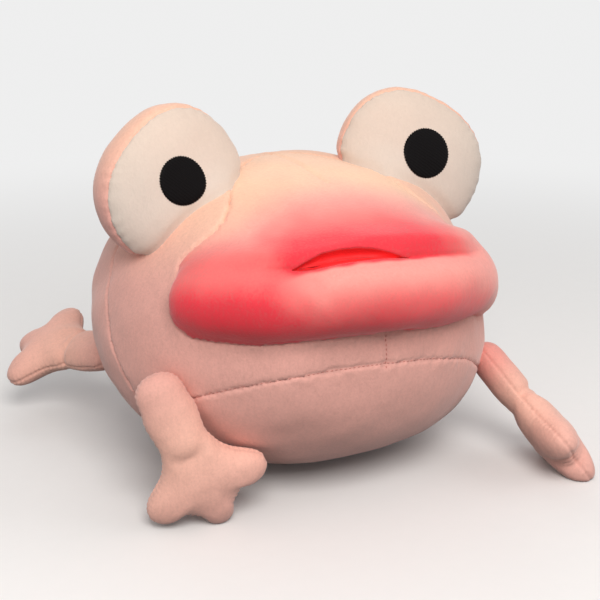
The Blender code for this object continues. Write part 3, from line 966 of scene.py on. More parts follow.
@dataclass(frozen=True)
class Slump:
    """How the stuffing has settled: muzzle and belly hang lower on the frog's left.

    Pairs of numbers say where a fade begins and where it ends.
    """

    skew: float = 0.055
    skew_middle: float = -0.04
    hang_ahead: Pair = (0.03, 0.10)
    hang_up: Pair = (0.150, 0.185)
    end_tuck: float = 0.009
    tuck_across: Pair = (0.08, 0.17)
    tuck_height: float = 0.236
    tuck_spread: float = 0.040
    end_droop: float = 0.019
    droop_begin: Pair = (math.radians(34), math.radians(50))
    droop_end: Pair = (math.radians(66), math.radians(90))
    droop_height: float = 0.153
    droop_spread: float = 0.034
    sag: float = 0.018
    sag_azimuth: float = math.radians(62)
    sag_azimuth_spread: float = math.radians(38)
    sag_latitude: float = math.radians(-34)
    sag_latitude_spread: float = math.radians(24)

    def settled(self, points: Points, centre_height: float) -> Points:
        """Lets the torso's points settle.

        Args:
            points: Places, one a row.
            centre_height: Height of the body's middle.

        Returns:
            The new places.
        """
        mask = smooth_step(-points[:, 1], *self.hang_ahead) * smooth_step(points[:, 2], *self.hang_up)
        moved = points.copy()
        moved[:, 2] -= (points[:, 0] - self.skew_middle) * self.skew * mask
        tuck = smooth_step(points[:, 0], *self.tuck_across)
        tuck *= bell(points[:, 2] - self.tuck_height, self.tuck_spread)
        moved[:, 0] -= self.end_tuck * tuck * mask
        azimuth = np.arctan2(points[:, 0], -points[:, 1])
        corner = smooth_step(azimuth, *self.droop_begin) * smooth_fall(azimuth, *self.droop_end)
        moved[:, 2] -= self.end_droop * corner * bell(points[:, 2] - self.droop_height, self.droop_spread)
        out = points - (0.0, 0.0, centre_height)
        out /= np.maximum(np.linalg.norm(out, axis=1), 1e-6)[:, None]
        latitude = np.arcsin(np.clip(out[:, 2], -1.0, 1.0))
        sag = bell(azimuth - self.sag_azimuth, self.sag_azimuth_spread)
        sag *= bell(latitude - self.sag_latitude, self.sag_latitude_spread)
        moved += out * (self.sag * sag)[:, None]
        moved[:, 2] = np.maximum(moved[:, 2], 0.0)
        return moved


@dataclass(frozen=True)
class Airbrush:
    """The muzzle's spray, coral over the slit, on the lower lip and on its right-hand lobe,
    with painted shade and a painted highlight on the lips.

    Turns are degrees round the face, and heights lie above or below the slit. edge_far, side_coral,
    under_coral and border give a least value and what is added to it. The other pairs say where a
    fade begins and where it ends.
    """

    drift: Wrinkle = Wrinkle(15.0, 1.0, 4)
    drift_turn: float = 3.0
    drift_length: float = 0.004
    edge_far: Pair = (0.088, 0.057)
    edge_turn: float = 52.0
    edge_turn_most: float = 1.3
    edge_lap: float = 0.004
    over_far: float = 0.186
    over_growth: float = 1.25
    over_right: Pair = (24.0, 50.0)
    over_left: Pair = (10.0, 36.0)
    lobe_turn: Pair = (15.0, 33.0)
    end_turn: Pair = (24.0, 46.0)
    loss: float = 0.85
    side_coral: Pair = (0.66, 0.34)
    side_below: Pair = (-0.002, 0.030)
    side_above: Pair = (0.010, 0.072)
    # The lower lip's coral: its least value is paler under the slit, a painted highlight; its last share,
    # towards the bottom edge, is painted shade.
    under_coral: Triple = (0.14, 0.60, 0.18)
    under_highlight_fade: Pair = (0.012, 0.056)
    under_shade_rise: Pair = (0.050, 0.085)
    border: Triple = (0.0025, 0.018, 0.006)
    border_turn: Pair = (22.0, 36.0)
    front: Pair = (0.03, 0.07)
    # Painted shade: deep towards the lower lip's bottom edge, then low on the right-hand lobe.
    chin_painted_shade: float = 0.45
    chin_shade_below: Pair = (0.045, 0.085)
    chin_shade_turn: Pair = (-22.0, 8.0)
    lobe_painted_shade: float = 0.40
    lobe_shade_middle: float = -44.0
    lobe_spread: float = 14.0
    lobe_shade_below: Pair = (0.015, 0.050)
    lip_deep: float = 0.25
    lip_height: float = 0.010
    lip_spread: float = 0.012
    peach_fade: float = 0.040

    def tints(self, points: Points, azimuth: Points, above: Points) -> dict[str, Points]:
        """How much of each tint lies at each point.

        Args:
            points: The muzzle's points.
            azimuth: Their angles round the face.
            above: Their distances above the slit.

        Returns:
            The tints by name.
        """
        drift = self.drift.over(points)
        degrees = np.degrees(azimuth) + self.drift_turn * drift
        above = above + self.drift_length * drift
        far = np.hypot(points[:, 0], points[:, 1]) + self.drift_length * drift
        turned = np.minimum(np.abs(degrees) / self.edge_turn, self.edge_turn_most)
        edge = self.edge_far[0] + self.edge_far[1] * turned**2
        lobe = smooth_step(-degrees, *self.lobe_turn)
        end = smooth_step(degrees, *self.end_turn)
        over = smooth_step(far, edge - self.edge_lap, self.over_far) ** self.over_growth
        over *= smooth_fall(-degrees, *self.over_right)
        over *= 1.0 - self.loss * smooth_step(degrees, *self.over_left)
        side = self.side_coral[0] + self.side_coral[1] * smooth_step(-above, *self.side_below)
        side *= 1.0 - self.loss * smooth_step(above, *self.side_above)
        # The lower lip: coral is least just below the slit, a painted highlight on the lip's upward face,
        # and its last share, towards the bottom edge, is painted shade.
        least, near, low = self.under_coral
        under = least + near * smooth_step(-above, *self.under_highlight_fade)
        under = under + low * smooth_step(-above, *self.under_shade_rise)
        under = (under + (side - under) * lobe) * (1.0 - self.loss * end)
        least, right, left = self.border
        width = least + right * smooth_step(-degrees, *self.border_turn) + left * end
        upper = smooth_step(above, -width, width)
        coral = under + (np.maximum(over, side * lobe) - under) * upper
        # Painted shade: deep growing towards the lower lip's bottom edge, over the chin.
        deep = self.chin_painted_shade * smooth_step(-above, *self.chin_shade_below)
        deep *= smooth_fall(degrees, *self.chin_shade_turn)
        # Painted shade: deep low on the right-hand lobe.
        lobe_shade = self.lobe_painted_shade * bell(degrees - self.lobe_shade_middle, self.lobe_spread)
        deep += lobe_shade * smooth_step(-above, *self.lobe_shade_below)
        deep += self.lip_deep * over * bell(above - self.lip_height, self.lip_spread) * upper
        front = smooth_step(-points[:, 1], *self.front)
        peach = 1.0 - smooth_step(far, edge - self.peach_fade, edge + self.peach_fade) * front
        return {"coral": coral * front, "deep": deep * front, "peach": peach}


@dataclass
class Torso:
    """The round body with the two-lip muzzle on its face.

    Pairs of numbers say where a fade begins and where it ends. Only fine_above and fine_turn give a
    middle and a reach. Tables of the slit and the crease are in degrees and metres.
    """

    half_width: float = 0.200
    half_depth: float = 0.193
    half_height: float = 0.152
    centre_height: float = 0.1515
    upper_fullness: float = 2.05
    lower_fullness: float = 2.08
    brow_reach: float = 0.040
    brow_latitude: float = math.radians(50)
    brow_latitude_spread: float = math.radians(20)
    brow_azimuth_spread: float = math.radians(50)
    lip_end: float = math.radians(60)
    lip_height: float = 0.1815
    lip_rise: float = 0.052
    lip_overhang: float = 0.020
    lip_end_sink: float = 0.020
    lower_lip: Triple = (0.002, -0.012, 0.040)
    upper_lip: Triple = (-0.006, 0.0115, 0.028)
    lip_taper: float = 5.0
    notch_depth: float = 0.0065
    notch_tilt: float = math.radians(49)
    notch_tilt_fall: float = math.radians(20)
    notch_spread: float = math.radians(22)
    notch_turn: float = math.radians(26)
    notch_azimuth: float = math.radians(22)
    notch_fade: float = math.radians(20)
    belly_front: float = 0.151
    belly_slope: float = math.radians(28)
    belly_tilt: float = 0.065
    side_height: float = 0.190
    side_lean: float = math.radians(30)
    face_edge: Table = (
        (0.0, 0.042), (0.058, -0.003), (0.084, -0.048), (0.098, -0.074), (0.110, -0.087),
        (0.122, -0.091), (0.134, -0.088), (0.146, -0.086), (0.154, -0.105), (0.165, -0.160),
    )
    forehead: float = 0.215
    head_seam_front: float = -0.081
    slack: float = 0.0015
    voxel: float = 0.005
    seam_depth: float = 0.0020
    lip_seam_depth: float = 0.0030
    slit_top: Table = (
        (-26.7, 0.0042), (-23.1, 0.0096), (-19.1, 0.0144), (-14.4, 0.0152), (-9.6, 0.0137),
        (-5.7, 0.0108), (-2.0, 0.0067), (0.4, 0.0039), (3.0, 0.0010), (5.6, -0.0004),
    )
    slit_bottom: Table = (
        (-26.7, 0.0040), (-24.2, 0.0014), (-21.2, 0.0002), (-17.8, 0.0006), (-13.6, 0.0008),
        (-8.8, 0.0010), (-4.0, 0.0008), (2.6, 0.0), (5.6, -0.0004),
    )
    crease: Table = (
        (-34.0, 0.0045), (-26.7, 0.0041), (5.6, -0.0004), (15.0, 0.0008), (25.0, 0.0030),
        (35.0, 0.0040), (44.0, 0.0040),
    )
    crease_depth: float = 0.0060
    slit_deep: float = 0.0115
    slit_tall: float = 0.0075
    slit_stop: float = 0.003
    slit_reach: float = 0.03
    lobe_over: float = 0.010
    lobe_azimuth: float = math.radians(-48)
    lobe_spread: float = math.radians(17)
    lobe_above: Pair = (0.008, 0.034)
    brow_above: Pair = (0.020, 0.034)
    brow_up: Pair = (0.238, 0.256)
    brow_across: Pair = (0.085, 0.125)
    brow_crease: float = 0.030
    lobe_crease: float = 0.014
    crease_ease: float = 0.6
    crease_rounds: int = 60
    seam_pin: float = 0.006
    slit_pin: float = 0.010
    seam_margin: float = 0.004
    stitch_height: float = 0.0003
    fine_above: Pair = (0.004, 0.017)
    fine_turn: Pair = (5.0, 42.0)
    gathers: Wrinkle = Wrinkle(75.0, 0.0006, 21, 2)
    lip_gather: float = 0.010
    seam_gather: float = 0.008
    lumps: tuple[Wrinkle, Wrinkle] = (Wrinkle(6.5, 0.0022, 22), Wrinkle(20.0, 0.0005, 23, 2))
    lip_folds: Wrinkle = Wrinkle(2.6, 0.0013, 24, 2)
    fold_stretch: float = 2.0
    fold_below: Pair = (0.015, 0.055)
    lying: Pair = (0.003, 0.020)
    rim_roll: float = 0.10
    rim_rings: Table = ((0.95, 0.22), (0.93, 0.40), (0.95, 0.60))
    pocket_rings: Table = (
        (0.93, 0.20), (0.89, 0.34), (0.82, 0.52), (0.66, 0.74), (0.42, 0.92), (0.14, 1.0),
    )
    pocket_start: float = 0.12
    pocket_tilt: float = 0.6
    pocket_folds: Wrinkle = Wrinkle(34.0, 0.0004, 31, 2)
    pocket_shade: Pair = (math.radians(-25), math.radians(-17))
    crease_left: tuple[Pair, Pair] = ((-36.0, -28.0), (-27.0, -22.0))
    crease_left_share: float = 0.6
    crease_right: tuple[Pair, Pair] = ((-6.0, 7.0), (14.0, 40.0))
    crease_spread: float = 0.0030
    crease_shoulder: float = 0.0090
    crease_shoulder_share: float = 0.5
    warm: float = 0.8
    warm_up: Pair = (0.20, 0.30)
    warm_back: Pair = (0.05, 0.17)
    hub: Triple = (0.0, -0.085, 0.215)
    slump: Slump = Slump()
    airbrush: Airbrush = Airbrush()
    stuffing: Stuffing = field(default_factory=Stuffing)
    seat: BVHTree | None = field(default=None, init=False)

    def body_points(self, azimuth: Points, latitude: Points, inset: float = 0.0) -> Points:
        """The body's surface: azimuth 0 is the face, latitude 90 degrees the crown.

        Args:
            azimuth: Angles round the body.
            latitude: Angles up the body.
            inset: How far inside the surface.

        Returns:
            The places, one a row.
        """
        rise = np.sin(latitude)
        fullness = np.where(rise >= 0.0, self.upper_fullness, self.lower_fullness)
        up = np.sign(rise) * np.abs(rise) ** (2.0 / fullness)
        out = np.maximum(0.0, 1.0 - np.abs(up) ** fullness) ** (1.0 / fullness)
        brow = self.brow_reach * bell(latitude - self.brow_latitude, self.brow_latitude_spread)
        brow = brow * bell(azimuth, self.brow_azimuth_spread)
        return np.column_stack((
            ((self.half_width - inset) * out + brow) * np.sin(azimuth),
            -((self.half_depth - inset) * out + brow) * np.cos(azimuth),
            self.centre_height + (self.half_height - inset) * up,
        ))

    def body_mesh(self, inset: float) -> Mesh:
        """The closed body."""
        bm, unit = unit_sphere(segments=120, rings=72)
        latitude = np.arcsin(np.clip(unit[:, 2], -1.0, 1.0))
        azimuth = np.arctan2(unit[:, 0], -unit[:, 1])
        return shaped("body_form", bm, self.body_points(azimuth, latitude, inset))

    def lip_middle(self, azimuth: Points) -> tuple[Points, Points]:
        """The lips' middle line: how far out and how high it runs at each azimuth."""
        height = self.lip_height + self.lip_rise * np.cos(azimuth)
        share = (height - self.centre_height) / self.half_height
        around = super_round(share, self.upper_fullness)
        across = self.half_width * around * np.sin(azimuth)
        ahead = self.half_depth * around * np.cos(azimuth)
        proud = self.lip_overhang * np.cos(azimuth) ** 2 - self.lip_end_sink * np.sin(azimuth) ** 2
        return np.hypot(across, ahead) + proud, height

    def notch_angle(self, azimuth: Points) -> Points:
        """The direction of the slit in the lips' section."""
        return self.notch_tilt - self.notch_tilt_fall * np.minimum(1.0, (azimuth / self.notch_turn) ** 2)

    def lip_mesh(self, inset: float) -> Mesh:
        """The closed form of both lips: two round lips with a notch between them."""
        bm, unit = unit_sphere(segments=96, rings=96)
        azimuth = unit[:, 2] * self.lip_end
        out, height = self.lip_middle(azimuth)
        angle = self.notch_angle(azimuth) - np.arctan2(unit[:, 1], unit[:, 0])
        reach = np.zeros(len(unit))
        for ahead, lift, radius in (self.upper_lip, self.lower_lip):
            along = ahead * np.cos(angle) + lift * np.sin(angle)
            across = ahead * np.sin(angle) - lift * np.cos(angle)
            inside = np.maximum(radius**2 - across**2, 0.0)
            reach = np.maximum(reach, np.where(inside > 0.0, along + np.sqrt(inside), 0.0))
        taper = super_round(np.minimum(1.0, np.abs(azimuth) / self.lip_end), self.lip_taper)
        notch = self.notch_depth * bell(angle - self.notch_angle(azimuth), self.notch_spread)
        notch *= smooth_fall(np.abs(azimuth), self.notch_azimuth, self.notch_azimuth + self.notch_fade)
        reach = np.maximum(reach * taper - notch - inset, 0.0)
        reach[np.abs(unit[:, 2]) > 0.99999] = 0.0
        far = out + reach * np.cos(angle)
        return shaped("lip_form", bm, np.column_stack((
            far * np.sin(azimuth), -far * np.cos(azimuth), height + reach * np.sin(angle)
        )))

    def belly_seam(self, points: Points) -> Points:
        """Height above the belly seam's plane."""
        back = (points[:, 1] + self.half_depth) * math.sin(self.belly_slope)
        rise = points[:, 2] - self.belly_front + points[:, 0] * self.belly_tilt
        return back + rise * math.cos(self.belly_slope)

    def side_seam(self, points: Points) -> Points:
        """Distance behind the plane of the seam down the flanks and over the head."""
        along = points[:, 1] * math.cos(self.side_lean)
        return along - (points[:, 2] - self.side_height) * math.sin(self.side_lean)

    def head_area(self, points: Points) -> Points:
        """Positive on the head top: before the edge table and the side seam, above the lips."""
        across, edge = np.array(self.face_edge).T
        before = np.interp(np.abs(points[:, 0]), across, edge) - points[:, 1]
        return np.min((before, -self.side_seam(points), points[:, 2] - self.forehead), axis=0)

    def settled(self, points: Points) -> Points:
        """The places of the torso's points once its stuffing has settled."""
        return self.slump.settled(points, self.centre_height)

    def lobe_reach(self, points: Points) -> Points:
        """How far the muzzle's cover reaches past the fold over its right-hand lobe."""
        azimuth, above = self.slit_place(points)
        turn = bell(azimuth - self.lobe_azimuth, self.lobe_spread)
        return self.lobe_over * turn * smooth_step(above, *self.lobe_above)

    def slit_place(self, points: Points) -> tuple[Points, Points]:
        """Where points lie round the mouth.

        Args:
            points: Places, one a row.

        Returns:
            The azimuth, and the distance above the slit along the lips' section.
        """
        azimuth = np.arctan2(points[:, 0], -points[:, 1])
        out, height = self.lip_middle(azimuth)
        far = np.hypot(points[:, 0], points[:, 1]) - out
        rise = points[:, 2] - height
        angle = np.arctan2(rise, far)
        return azimuth, (angle - self.notch_angle(azimuth)) * np.hypot(far, rise)

    def slit_limits(self, azimuth: Points) -> tuple[Points, Points]:
        """The upper and lower edge of the open slit, as distances above the notch."""
        limits = []
        for table in (self.slit_top, self.slit_bottom):
            degrees, above = np.array(table).T
            limits.append(np.interp(np.degrees(azimuth), degrees, above))
        return limits[0], limits[1]

    def slit_field(self, points: Points) -> Points:
        """Positive inside the open slit."""
        azimuth, above = self.slit_place(points)
        top, bottom = self.slit_limits(azimuth)
        inside = np.minimum(top - above, above - bottom)
        degrees = np.degrees(azimuth)
        ends = np.minimum(degrees - self.slit_top[0][0], self.slit_top[-1][0] - degrees)
        beyond = ends * self.slit_stop
        return np.where(self.on_front(points), np.minimum(inside, beyond), -1.0)

    def on_front(self, points: Points) -> np.ndarray:
        """True on the lips' front, where the slit is."""
        azimuth, above = self.slit_place(points)
        ahead = np.hypot(points[:, 0], points[:, 1]) > self.lip_middle(azimuth)[0]
        near = (np.abs(azimuth) < self.lip_end) & (np.abs(above) < self.slit_reach)
        return ahead & (points[:, 1] < 0.0) & near

    def build(self, finishes: Finishes, stitches: StitchRow) -> list[Object]:
        """Builds the covers of body and muzzle, the mouth's lining and the seams' stitches.

        Args:
            finishes: The materials.
            stitches: Lays the rows of stitches.

        Returns:
            The pieces.
        """
        body, lips = self.body_mesh(self.slack), self.lip_mesh(self.slack)
        skin = fused("torso", [body, lips], self.voxel)
        body_tree, lip_tree = surface_of(body), surface_of(lips)

        def lip_side(points: Points) -> Points:
            """Positive where the skin follows the lips, not the body."""
            return height_over(points, body_tree) - height_over(points, lip_tree)

        def muzzle(points: Points) -> Points:
            """Positive on the muzzle and the head top."""
            return np.maximum(lip_side(points) + self.lobe_reach(points), self.head_area(points))

        points = self._smoothed(evened(skin, 3), edges_of(skin), lip_side(points_of(skin)))
        move_points(skin, points)
        self.stuffing.swell(skin, self._pinned(points, muzzle(points)))
        skin = subdivided(skin)
        points = points_of(skin)
        points[:, 2] = np.maximum(points[:, 2], 0.0)
        move_points(skin, points)

        bm = bmesh_of(skin)
        self._cut_seams(bm, muzzle)
        self._pucker(bm, muzzle)
        lining = self._lining(self._open_slit(bm), finishes)
        self.seat = self._seat_of(bm)
        marks = {"belly_seam_stitches": "belly_seam", "chin_seam_stitches": "middle_seam"}
        rows = {name: seam_paths(bm, mark, self.stitch_height) for name, mark in marks.items()}
        covers = self._covers(bm, finishes)
        for name, paths in rows.items():
            row = stitches.sew(name, [self.settled(path) for path in paths], finishes.thread)
            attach(row, "body")
            covers.append(row)
        return covers + [lining]

    def _smoothed(self, points: Points, edges: np.ndarray, lip_side: Points) -> Points:
        """Lets the brow run smoothly into the upper lip, and rounds the fold over the lobe.

        Args:
            points: The skin's points.
            edges: Its edges.
            lip_side: Positive where the skin follows the lips.

        Returns:
            The smoothed points.
        """
        above = self.slit_place(points)[1]
        top = smooth_step(above, *self.brow_above) * smooth_step(points[:, 2], *self.brow_up)
        ends = smooth_fall(np.abs(points[:, 0]), *self.brow_across)
        crease = bell(lip_side, self.brow_crease)
        weight = self.crease_ease * top * ends * crease * (points[:, 1] < 0.0)
        fold = self.lobe_reach(points) / self.lobe_over * bell(lip_side, self.lobe_crease)
        weight = np.maximum(weight, self.crease_ease * fold)
        return relaxed(points, edges, weight, self.crease_rounds)

    def _pinned(self, points: Points, muzzle: Points) -> Points:
        """How firmly the seams hold each point of the skin."""
        above = self.belly_seam(points)
        cheeks = (above > 0.0) & (muzzle < 0.0)
        lines = [
            bell(muzzle, self.seam_pin),
            bell(above, self.seam_pin),
            bell(self.side_seam(points), self.seam_pin) * cheeks,
            bell(points[:, 0], self.seam_pin) * cheeks,
            bell(self.slit_place(points)[1], self.slit_pin) * self.on_front(points),
            bell(points[:, 2], self.seam_pin),
        ]
        return np.max(lines, axis=0)

    def _cut_seams(self, bm: BMesh, muzzle: Field) -> None:
        """Lays edges along every seam, notes the muzzle's faces and pulls the seams in."""
        def body_only(points: Points) -> np.ndarray:
            """The body's cover."""
            return muzzle(points) < self.seam_margin

        def cover_only(points: Points) -> np.ndarray:
            """The body's cover above the belly."""
            return (self.belly_seam(points) > -self.seam_margin) & body_only(points)

        def head_only(points: Points) -> np.ndarray:
            """The head top, as far as its middle seam runs."""
            ahead = (points[:, 1] > self.head_seam_front) & (points[:, 2] > self.forehead)
            return ahead & (self.side_seam(points) < self.seam_margin)

        def middle(points: Points) -> Points:
            """Distance to the left of the middle."""
            return points[:, 0]

        cut_along(bm, muzzle, everywhere, "lip_seam")
        cut_along(bm, self.belly_seam, body_only, "belly_seam")
        cut_along(bm, self.side_seam, cover_only, "side_seam")
        cut_along(bm, middle, cover_only, "middle_seam")
        cut_along(bm, middle, head_only, "head_seam")
        self._refine_mouth(bm)
        side = bm.faces.layers.int.new("muzzle")
        for face, value in zip(bm.faces, muzzle(middles_of(bm))):
            face[side] = int(value > 0.0)
        drawn_in(bm, "lip_seam", self.lip_seam_depth)
        for mark in ("belly_seam", "side_seam", "middle_seam", "head_seam"):
            drawn_in(bm, mark, self.seam_depth)

    def _refine_mouth(self, bm: BMesh) -> None:
        """Makes the skin finer round the slit and its crease."""
        points = placed(bm)
        azimuth, above = self.slit_place(points)
        height, tall = self.fine_above
        turn, wide = self.fine_turn
        near = (np.abs(above - height) < tall) & (np.abs(np.degrees(azimuth) - turn) < wide)
        near &= self.on_front(points)
        bm.verts.index_update()
        edges = [e for e in bm.edges if near[e.verts[0].index] and near[e.verts[1].index]]
        bmesh.ops.subdivide_edges(bm, edges=edges, cuts=1, use_grid_fill=True)

    def _pucker(self, bm: BMesh, muzzle: Field) -> None:
        """Gathers the cloth beside the seams, and gives the stuffing its soft lumps."""
        points = placed(bm)
        side, above = muzzle(points), self.belly_seam(points)
        body, cheeks = side < 0.0, (side < 0.0) & (above > 0.0)
        beside = np.max((
            bell(side, self.lip_gather),
            bell(above, self.seam_gather) * body,
            bell(self.side_seam(points), self.seam_gather) * cheeks,
            bell(points[:, 0], self.seam_gather) * cheeks,
        ), axis=0)
        gathers = self.gathers.over(points) * beside
        lumps = self.lumps[0].over(points) + self.lumps[1].over(points)
        azimuth, over = self.slit_place(points)
        round_head = np.column_stack((azimuth, azimuth * 0.0, over * self.fold_stretch))
        lumps += self.lip_folds.over(round_head) * smooth_step(-over, *self.fold_below) * (side > 0.0)
        pushed(bm, (gathers + lumps) * smooth_step(points[:, 2], *self.lying))

    def _open_slit(self, bm: BMesh) -> list[Points]:
        """Cuts the slit open, rolls its rim inwards and presses the closed crease in.

        Args:
            bm: The skin.

        Returns:
            The rings of the pocket behind the slit, from its mouth inwards.
        """
        cut_along(bm, self.slit_field, self.on_front, "slit_edge")
        kept_faces(bm, lambda points: -self.slit_field(points))
        self._press_crease(bm)
        rim = rim_of(bm)
        start = np.array([vertex.co[:] for vertex in rim])
        for _ in range(3):
            start = (np.roll(start, 1, 0) + 2.0 * start + np.roll(start, -1, 0)) / 4.0
        azimuth, above = self.slit_place(start)
        top, bottom = self.slit_limits(azimuth)
        high = above > (top + bottom) / 2.0
        halves = []
        for half in (high, ~high):
            order = np.argsort(azimuth[half])
            known, places = azimuth[half][order], start[half][order]
            halves.append(np.column_stack([np.interp(azimuth, known, row) for row in places.T]))
        centre = (halves[0] + halves[1]) / 2.0
        tall = np.linalg.norm(halves[0] - halves[1], axis=1) / 2.0
        open_share = np.clip(self.pocket_start + tall / self.slit_tall, 0.0, 1.0)
        depth = self.slit_deep * open_share[:, None]
        inwards = self._inwards(azimuth)

        def ring(pinch: float, deep: float) -> Points:
            """One ring of the pocket."""
            return centre + (start - centre) * pinch + inwards * depth * deep

        for vertex, place in zip(rim, ring(1.0, self.rim_roll)):
            vertex.co = place
        side = bm.faces.layers.int["muzzle"]
        outer = rim
        for pinch, deep in self.rim_rings:
            inner = [bm.verts.new(place) for place in ring(pinch, deep)]
            for number in range(len(rim)):
                after = (number + 1) % len(rim)
                face = bm.faces.new((outer[number], outer[after], inner[after], inner[number]))
                face[side] = 1
            outer = inner
        return [ring(pinch, deep) for pinch, deep in self.pocket_rings]

    def _inwards(self, azimuth: Points) -> Points:
        """The direction into the mouth, one a row."""
        tilt = self.notch_angle(azimuth) * self.pocket_tilt
        ways = (-np.sin(azimuth) * np.cos(tilt), np.cos(azimuth) * np.cos(tilt), -np.sin(tilt))
        return np.column_stack(ways)

    def _press_crease(self, bm: BMesh) -> None:
        """Presses in the closed line that runs on from both ends of the slit."""
        points = placed(bm)
        azimuth, above = self.slit_place(points)
        degrees = np.degrees(azimuth)
        known, line = np.array(self.crease).T
        off = above - np.interp(degrees, known, line)
        right, left = (
            smooth_step(degrees, *begin) * smooth_fall(degrees, *end)
            for begin, end in (self.crease_right, self.crease_left)
        )
        left = left * self.crease_left_share
        shoulder = self.crease_shoulder_share
        deep = bell(off, self.crease_spread) + shoulder * bell(off, self.crease_shoulder)
        amounts = self.crease_depth / (1.0 + shoulder) * deep * np.maximum(right, left)
        amounts = amounts * self.on_front(points)
        for vertex, way, amount in zip(bm.verts, self._inwards(azimuth), amounts):
            if amount > 0.0:
                vertex.co += Vector(way) * float(amount)

    def _lining(self, rings: list[Points], finishes: Finishes) -> Object:
        """The red pocket: a thin bowl behind the slit, more folded the deeper it goes."""
        bm = bmesh.new()
        loops = []
        for ring, share in zip(rings, np.linspace(0.0, 1.0, len(rings))):
            fold = self.pocket_folds.over(ring)[:, None] * share
            folded = ring + fold * self._inwards(self.slit_place(ring)[0])
            loops.append([bm.verts.new(place) for place in folded])
        count = len(loops[0])
        for outer, inner in zip(loops, loops[1:]):
            for number in range(count):
                after = (number + 1) % count
                bm.faces.new((outer[number], outer[after], inner[after], inner[number]))
        middle = bm.verts.new(rings[-1].mean(axis=0))
        for number in range(count):
            bm.faces.new((loops[-1][number], loops[-1][(number + 1) % count], middle))
        bmesh.ops.recalc_face_normals(bm, faces=bm.faces[:])
        bm.normal_update()
        if sum(face.normal.y for face in bm.faces) > 0.0:
            bmesh.ops.reverse_faces(bm, faces=bm.faces[:])
        mesh = mesh_of("mouth_lining_cloth", bm)
        azimuth = self.slit_place(points_of(mesh))[0]
        paint(mesh, "deep", smooth_fall(azimuth, *self.pocket_shade))
        move_points(mesh, self.settled(points_of(mesh)))
        mesh.materials.append(finishes.satin)
        lining = object_of("mouth_lining_cloth", mesh)
        walled(lining)
        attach(lining, "body")
        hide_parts("mouth_lining")
        return lining

    def _seat_of(self, bm: BMesh) -> BVHTree:
        """The torso's finished surface, for the eyes to be sewn to."""
        work = bm.copy()
        for vertex, place in zip(work.verts, self.settled(placed(work))):
            vertex.co = place
        tree = BVHTree.FromBMesh(work)
        work.free()
        return tree

    def _covers(self, bm: BMesh, finishes: Finishes) -> list[Object]:
        """Parts the skin along the lips' seam into the muzzle's cover and the body's."""
        jobs = (
            ("muzzle_plush", 1, finishes.lips, "lip_plush",
             ("head_top_panel_left", "head_top_panel_right", "lip_cover", "lip_filling")),
            ("body_plush", 0, finishes.pink, "pink_plush",
             ("belly_panel", "cheek_panel_left", "cheek_panel_right", "back_panel_left",
              "back_panel_right", "body_filling")),
        )
        made = []
        for name, wanted, material, slot, nodes in jobs:
            part = bm.copy()
            side = part.faces.layers.int["muzzle"]
            away = [face for face in part.faces if face[side] != wanted]
            bmesh.ops.delete(part, geom=away, context="FACES")
            closed_to(part, Vector(self.hub))
            bmesh.ops.recalc_face_normals(part, faces=part.faces[:])
            mesh = mesh_of(name, part)
            if wanted:
                self._spray_and_shade_muzzle(mesh)
            else:
                self._spray_body(mesh)
            move_points(mesh, self.settled(points_of(mesh)))
            mesh.materials.append(material)
            cover = object_of(name, mesh)
            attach(cover, "body")
            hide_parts(*nodes)
            made.append(cover)
        bm.free()
        return made

    def _spray_body(self, mesh: Mesh) -> None:
        """Leaves the body plain, a little warmer on top."""
        points = points_of(mesh)
        warm = smooth_step(points[:, 2], *self.warm_up) * smooth_fall(points[:, 1], *self.warm_back)
        tinted(mesh, peach=self.warm * warm)

    def _spray_and_shade_muzzle(self, mesh: Mesh) -> None:
        """Airbrushes the muzzle's cover, with painted shade and a painted highlight on its lips."""
        points = points_of(mesh)
        tinted(mesh, **self.airbrush.tints(points, *self.slit_place(points)))


# Eyes


